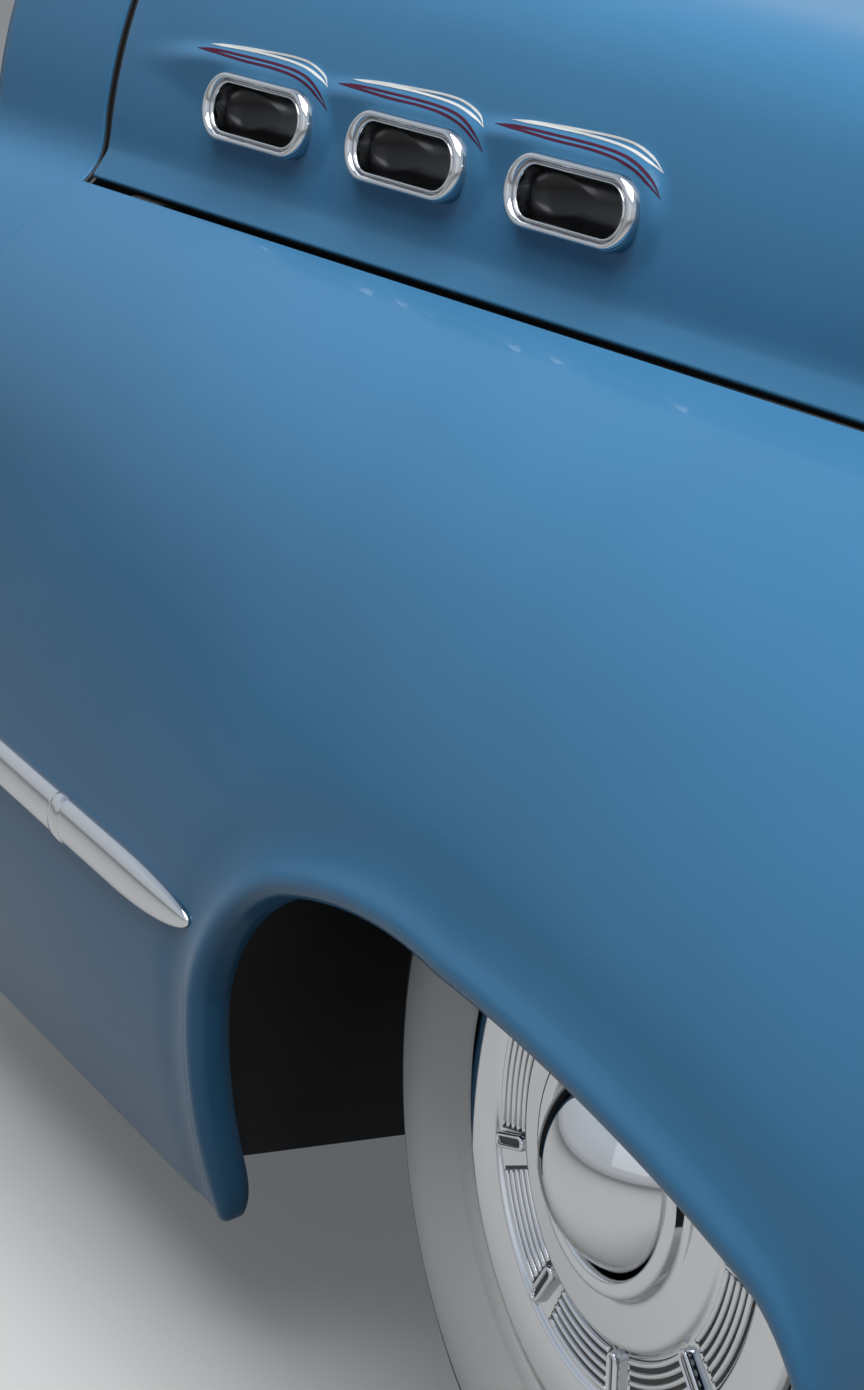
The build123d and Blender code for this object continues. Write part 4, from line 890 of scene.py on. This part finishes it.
# Side moulding: a spear along the fender with a bullet tip and a collar, whose shape is
# given as shares of its half length and the height there over the spear
MOULD_Z = 22.0
MOULD_HALF = 18.0
MOULD_DEPTH = 13.0
MOULD_TIP_X = -409.0
MOULD_TAPER = 125.0
MOULD_SUNK = 0.6
MOULD_HOLLOW = 6.0
COLLAR_X = -640.0
COLLAR_HALF = 9.0
COLLAR_SHAPE = [(0.0, 1.0), (0.4, 1.0), (0.8, 0.7), (1.0, -0.6), (1.2, 0.0)]


def make_moulding(skin, chrome):
    x = np.concatenate((np.arange(FENDER_REAR_X, MOULD_TIP_X - MOULD_TAPER, 8.0),
                        MOULD_TIP_X - MOULD_TAPER * np.linspace(1, 0.0, 40) ** 2))
    collar_places, collar_heights = np.array(COLLAR_SHAPE).T
    steps = np.concatenate((-collar_places[:0:-1], collar_places[1:]))
    x = np.sort(np.concatenate((x, COLLAR_X + COLLAR_HALF * steps)))
    along = np.clip((MOULD_TIP_X - x) / MOULD_TAPER, 0, 1)
    size = np.sqrt(np.clip(1 - (1 - along) ** 2, 0, 1))
    near = np.abs(x - COLLAR_X) / COLLAR_HALF
    collar = np.interp(near, collar_places, collar_heights)
    turn = np.linspace(-math.pi / 2, math.pi / 2, 21)
    base = skin.at(x, skin.share_at(x, np.full(len(x), MOULD_Z)))
    rows = []
    for angle in turn:
        up = math.sin(angle)
        out = max(math.cos(angle), 0.0) ** 0.75
        lower = 1.0 + 0.12 * max(-up, 0.0)
        height = MOULD_Z + (MOULD_HALF * size + collar) * up * lower
        under = skin.at(x, skin.share_at(x, height))
        away = (MOULD_DEPTH * size + collar * 1.3) * out - MOULD_SUNK
        rows.append(np.stack((x, np.minimum(under[:, 1], base[:, 1] + MOULD_HOLLOW) - away, height), -1))
    obj = grid_object("side_spear", np.array(rows), chrome, "root", "chrome", (0, -1, 0))
    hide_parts("side_moulding")


# Plate that closes the fender's nose, with the lamps' holes
LAMP_Y = -745.0
LAMP_HOLES = [(235.0, 91.0), (60.0, 39.0)]


def make_nose(paint):
    """Flat plate inside the fender's rolled front edge: triangles between its outline and the holes."""
    outline = even(fender_arcs(FENDER_NOSE_X), 80)
    along = np.gradient(outline)
    outline = outline + along / np.abs(along) * 1j * NOSE_ROLL * 0.98
    inner = [complex(outline[0].real + 2.0, outline[-1].imag)]
    loops = [np.concatenate((outline, inner))]
    for z, r in LAMP_HOLES:
        loops.append(complex(LAMP_Y, z) + r * np.exp(2j * math.pi * np.arange(64) / 64))
    points, edges = [], []
    for loop in loops:
        start = len(points)
        points += [Vector((p.real, p.imag)) for p in loop]
        edges += [(start + i, start + (i + 1) % len(loop)) for i in range(len(loop))]
    outer_face = list(range(len(loops[0])))
    verts, _, faces, *_ = delaunay_2d_cdt(points, edges, [outer_face], 1, 1e-5)
    kept = []
    for face in faces:
        middle = sum((verts[i] for i in face), Vector((0, 0))) / len(face)
        if all((middle - Vector((LAMP_Y, z))).length > r - 0.5 for z, r in LAMP_HOLES):
            kept.append(list(face))
    flat = np.array([(FENDER_NOSE_X, v[0], v[1]) for v in verts])
    plate = mesh_object("fender_nose", flat, kept, paint, "root", "blue_paint")
    plate.data.shade_flat()
    thicken(plate, SHEET, 0.0)


# Materials: each colour and gloss drifts a little over the piece. Colours are linear.
def material(name, color, rough, drift, scale=14.0, metallic=0.0, coat=0.0, grain=0.0, shine=0.5):
    """Principled material whose colour and roughness vary softly with a noise in object space.

    rough is its roughness, drift the share by which the colour varies and scale how finely,
    coat a clear coat's weight, grain the strength of a fine bump and shine the specular level.
    """
    mat = bpy.data.materials.new(name)
    mat.use_nodes = True
    nodes = mat.node_tree.nodes
    links = mat.node_tree.links
    bsdf = nodes["Principled BSDF"]
    where = nodes.new("ShaderNodeTexCoord")
    noise = nodes.new("ShaderNodeTexNoise")
    noise.inputs["Scale"].default_value = scale
    noise.inputs["Detail"].default_value = 4.0
    links.new(where.outputs["Object"], noise.inputs["Vector"])
    ramp = nodes.new("ShaderNodeValToRGB")
    low, high = ramp.color_ramp.elements
    low.position, high.position = 0.3, 0.7
    low.color = (*[c * (1 - drift) for c in color], 1)
    high.color = (*[min(c * (1 + drift), 1) for c in color], 1)
    links.new(noise.outputs["Fac"], ramp.inputs["Fac"])
    links.new(ramp.outputs["Color"], bsdf.inputs["Base Color"])
    gloss = nodes.new("ShaderNodeMapRange")
    gloss.inputs["To Min"].default_value = rough * 0.85
    gloss.inputs["To Max"].default_value = rough * 1.15
    links.new(noise.outputs["Fac"], gloss.inputs["Value"])
    links.new(gloss.outputs["Result"], bsdf.inputs["Roughness"])
    bsdf.inputs["Metallic"].default_value = metallic
    bsdf.inputs["Coat Weight"].default_value = coat
    bsdf.inputs["Coat Roughness"].default_value = 0.03
    bsdf.inputs["Specular IOR Level"].default_value = shine
    if grain:
        fine = nodes.new("ShaderNodeTexNoise")
        fine.inputs["Scale"].default_value = 900.0
        links.new(where.outputs["Object"], fine.inputs["Vector"])
        bump = nodes.new("ShaderNodeBump")
        bump.inputs["Strength"].default_value = grain
        bump.inputs["Distance"].default_value = 0.0004
        links.new(fine.outputs["Fac"], bump.inputs["Height"])
        links.new(bump.outputs["Normal"], bsdf.inputs["Normal"])
    return mat


MATERIALS = {
    "blue_paint": dict(name="blue_gloss", color=(0.046, 0.176, 0.335), rough=0.3, drift=0.03,
                       scale=6.0, coat=0.2, shine=0.1),
    "wheel_enamel": dict(name="wheel_blue", color=(0.065, 0.18, 0.32), rough=0.35, drift=0.04,
                         scale=10.0, coat=0.8),
    "black_enamel": dict(name="black_satin", color=(0.013, 0.013, 0.014), rough=0.45, drift=0.2,
                         scale=12.0, grain=0.2),
    "chrome": dict(name="bright_chrome", color=(0.56, 0.565, 0.575), rough=0.05, drift=0.02,
                   scale=9.0, metallic=1.0),
    "mirror": dict(name="mirror_silver", color=(0.86, 0.86, 0.87), rough=0.04, drift=0.01, metallic=1.0),
    "lamp_glass": dict(name="clear_glass", color=(0.93, 0.95, 0.95), rough=0.03, drift=0.02),
    "rubber": dict(name="plain_rubber", color=(0.02, 0.02, 0.02), rough=0.75, drift=0.15,
                   scale=20.0, grain=0.3),
    "spring_steel": dict(name="spring_black", color=(0.035, 0.035, 0.038), rough=0.45, drift=0.15,
                         scale=20.0, metallic=0.3),
    "forged_steel": dict(name="forged_grey", color=(0.16, 0.155, 0.15), rough=0.5, drift=0.15,
                         scale=25.0, metallic=0.9, grain=0.4),
    "cast_iron": dict(name="cast_grey", color=(0.10, 0.095, 0.09), rough=0.62, drift=0.2,
                      scale=30.0, metallic=0.7, grain=0.6),
    "tyre": dict(name="tread_rubber", color=(0.014, 0.014, 0.015), rough=0.7, drift=0.2,
                 scale=30.0, grain=0.3),
    "white_rubber": dict(name="white_band", color=(0.74, 0.75, 0.73), rough=0.5, drift=0.03,
                         scale=12.0, grain=0.1),
    "black_plastic": dict(name="black_gloss", color=(0.006, 0.006, 0.007), rough=0.3, drift=0.2,
                          scale=10.0, coat=0.1, shine=0.3),
}
STRIPE_MATERIALS = {
    "white": dict(name="line_white", color=(0.60, 0.62, 0.62), rough=0.5, drift=0.03, scale=40.0),
    "maroon": dict(name="line_maroon", color=(0.055, 0.004, 0.022), rough=0.6, drift=0.05,
                   scale=40.0, shine=0.15),
}
GLASS_IOR = 1.48


def make_materials(table):
    made = {slot: material(**values) for slot, values in table.items()}
    if "lamp_glass" in made:
        glass = made["lamp_glass"].node_tree.nodes["Principled BSDF"]
        glass.inputs["Transmission Weight"].default_value = 1.0
        glass.inputs["IOR"].default_value = GLASS_IOR
    return made


# Photograph's viewing angle, in metres: lens for a 36 mm wide sensor on the frame's long side
CAMERA_POS = Vector((1.7800, -2.0331, 0.9656))
CAMERA_RIGHT = Vector((0.46607521, 0.87941909, 0.09693274))
CAMERA_UP = Vector((-0.30635989, 0.05763375, 0.95016944))
CAMERA_LENS = 93.24


def make_camera():
    back = CAMERA_RIGHT.cross(CAMERA_UP)
    data = bpy.data.cameras.new("camera")
    data.lens = CAMERA_LENS
    data.sensor_width = 36.0
    data.clip_end = 50.0
    camera = bpy.data.objects.new("camera", data)
    rot = Matrix((CAMERA_RIGHT, CAMERA_UP, back)).transposed()
    camera.matrix_world = Matrix.Translation(CAMERA_POS) @ rot.to_4x4()
    bpy.context.scene.collection.objects.link(camera)
    bpy.context.scene.camera = camera


def seen_and_dim(tree, seen, dim, output):
    """Mix for an output: seen by the camera, in mirrors and through glass, dim for all other light."""
    nodes, links = tree.nodes, tree.links
    path = nodes.new("ShaderNodeLightPath")
    share = path.outputs["Is Camera Ray"]
    for ray in ("Is Glossy Ray", "Is Transmission Ray"):
        either = nodes.new("ShaderNodeMath")
        either.operation = "MAXIMUM"
        links.new(share, either.inputs[0])
        links.new(path.outputs[ray], either.inputs[1])
        share = either.outputs[0]
    mix = nodes.new("ShaderNodeMixShader")
    links.new(share, mix.inputs["Fac"])
    links.new(dim.outputs[0], mix.inputs[1])
    links.new(seen.outputs[0], mix.inputs[2])
    links.new(mix.outputs[0], output.inputs["Surface"])


# World from below to above, as it is seen, and the colour and strength of its light
WORLD_SEEN = [(0.0, (0.40, 0.41, 0.43)), (0.48, (0.42, 0.43, 0.45)), (0.53, (0.62, 0.66, 0.70)),
              (0.72, (0.70, 0.77, 0.86)), (1.0, (0.30, 0.40, 0.55))]
WORLD_LIGHT = (0.80, 0.86, 0.92, 1)
WORLD_STRENGTH = 0.22


def make_world():
    """Soft grey light, seen by camera, metal and glass as a pale sky over a grey horizon."""
    world = bpy.data.worlds.new("world")
    bpy.context.scene.world = world
    world.use_nodes = True
    nodes = world.node_tree.nodes
    links = world.node_tree.links
    shown = nodes["Background"]
    light = nodes.new("ShaderNodeBackground")
    light.inputs["Color"].default_value = WORLD_LIGHT
    light.inputs["Strength"].default_value = WORLD_STRENGTH
    where = nodes.new("ShaderNodeTexCoord")
    split = nodes.new("ShaderNodeSeparateXYZ")
    links.new(where.outputs["Generated"], split.inputs[0])
    level = nodes.new("ShaderNodeMapRange")
    level.inputs["From Min"].default_value = -1.0
    level.inputs["From Max"].default_value = 1.0
    links.new(split.outputs["Z"], level.inputs["Value"])
    ramp = nodes.new("ShaderNodeValToRGB")
    stops = ramp.color_ramp.elements
    while len(stops) < len(WORLD_SEEN):
        stops.new(0.5)
    for stop, (place, color) in zip(stops, WORLD_SEEN):
        stop.position = place
        stop.color = (*color, 1)
    links.new(level.outputs["Result"], ramp.inputs["Fac"])
    links.new(ramp.outputs["Color"], shown.inputs["Color"])
    shown.inputs["Strength"].default_value = 1.0
    seen_and_dim(world.node_tree, shown, light, nodes["World Output"])


FLOOR_REACH = 9.0
FLOOR_GLOW = (0.9, 0.95, 1.0, 1)
FLOOR_GLOW_STRENGTH = 0.1
FLOOR_DIM = (0.12, 0.13, 0.14, 1)


def make_floor():
    mesh = bpy.data.meshes.new("floor")
    far = FLOOR_REACH
    z = GROUND_Z * MM
    mesh.from_pydata([(-far, -far, z), (far, -far, z), (far, far, z), (-far, far, z)], [], [(0, 1, 2, 3)])
    floor = bpy.data.objects.new("floor", mesh)
    pale = material("pale_floor", (0.56, 0.56, 0.55), rough=0.9, drift=0.015, scale=2.0)
    nodes = pale.node_tree.nodes
    seen = nodes["Principled BSDF"]
    seen.inputs["Emission Color"].default_value = FLOOR_GLOW
    seen.inputs["Emission Strength"].default_value = FLOOR_GLOW_STRENGTH
    dim = nodes.new("ShaderNodeBsdfDiffuse")
    dim.inputs["Color"].default_value = FLOOR_DIM
    seen_and_dim(pale.node_tree, seen, dim, nodes["Material Output"])
    mesh.materials.append(pale)
    bpy.context.scene.collection.objects.link(floor)


LIGHTS = [  # name, place, size in metres, watts
    ("key", (0.2, -1.3, 3.4), 3.2, 160.0),
    ("side", (1.6, -3.6, 1.6), 2.4, 4.0),
]
LIGHT_AIM = Vector((-0.35, -0.6, 0.2))


def make_lights():
    for name, place, size, watts in LIGHTS:
        data = bpy.data.lights.new(name, "AREA")
        data.energy = watts
        data.size = size
        lamp = bpy.data.objects.new(name, data)
        lamp.location = place
        lamp.rotation_mode = "QUATERNION"
        lamp.rotation_quaternion = (LIGHT_AIM - Vector(place)).to_track_quat("-Z", "Y")
        bpy.context.scene.collection.objects.link(lamp)


materials = make_materials(MATERIALS)
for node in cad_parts.values():
    for place in node.material_slots:
        place.material = materials[place.material.name.split(".")[0]]

paint = materials["blue_paint"]
dark = materials["black_enamel"]
chrome = materials["chrome"]
ports = [Port(number) for number in range(PORT_COUNT)]
fender_skin = make_fender(paint, dark)
make_nose(paint)
hood_grid = make_hood(paint, dark, ports)
make_cowl(paint, dark)
make_bezels(ports, chrome, materials["black_plastic"])
make_pinstripes(ports, hood_grid, make_materials(STRIPE_MATERIALS))
make_cover(chrome, dark)
make_dome(chrome)
make_tyre(materials["tyre"], materials["white_rubber"])
make_moulding(fender_skin, chrome)

make_camera()
make_floor()
make_world()
make_lights()
bpy.context.scene.view_settings.view_transform = "Standard"
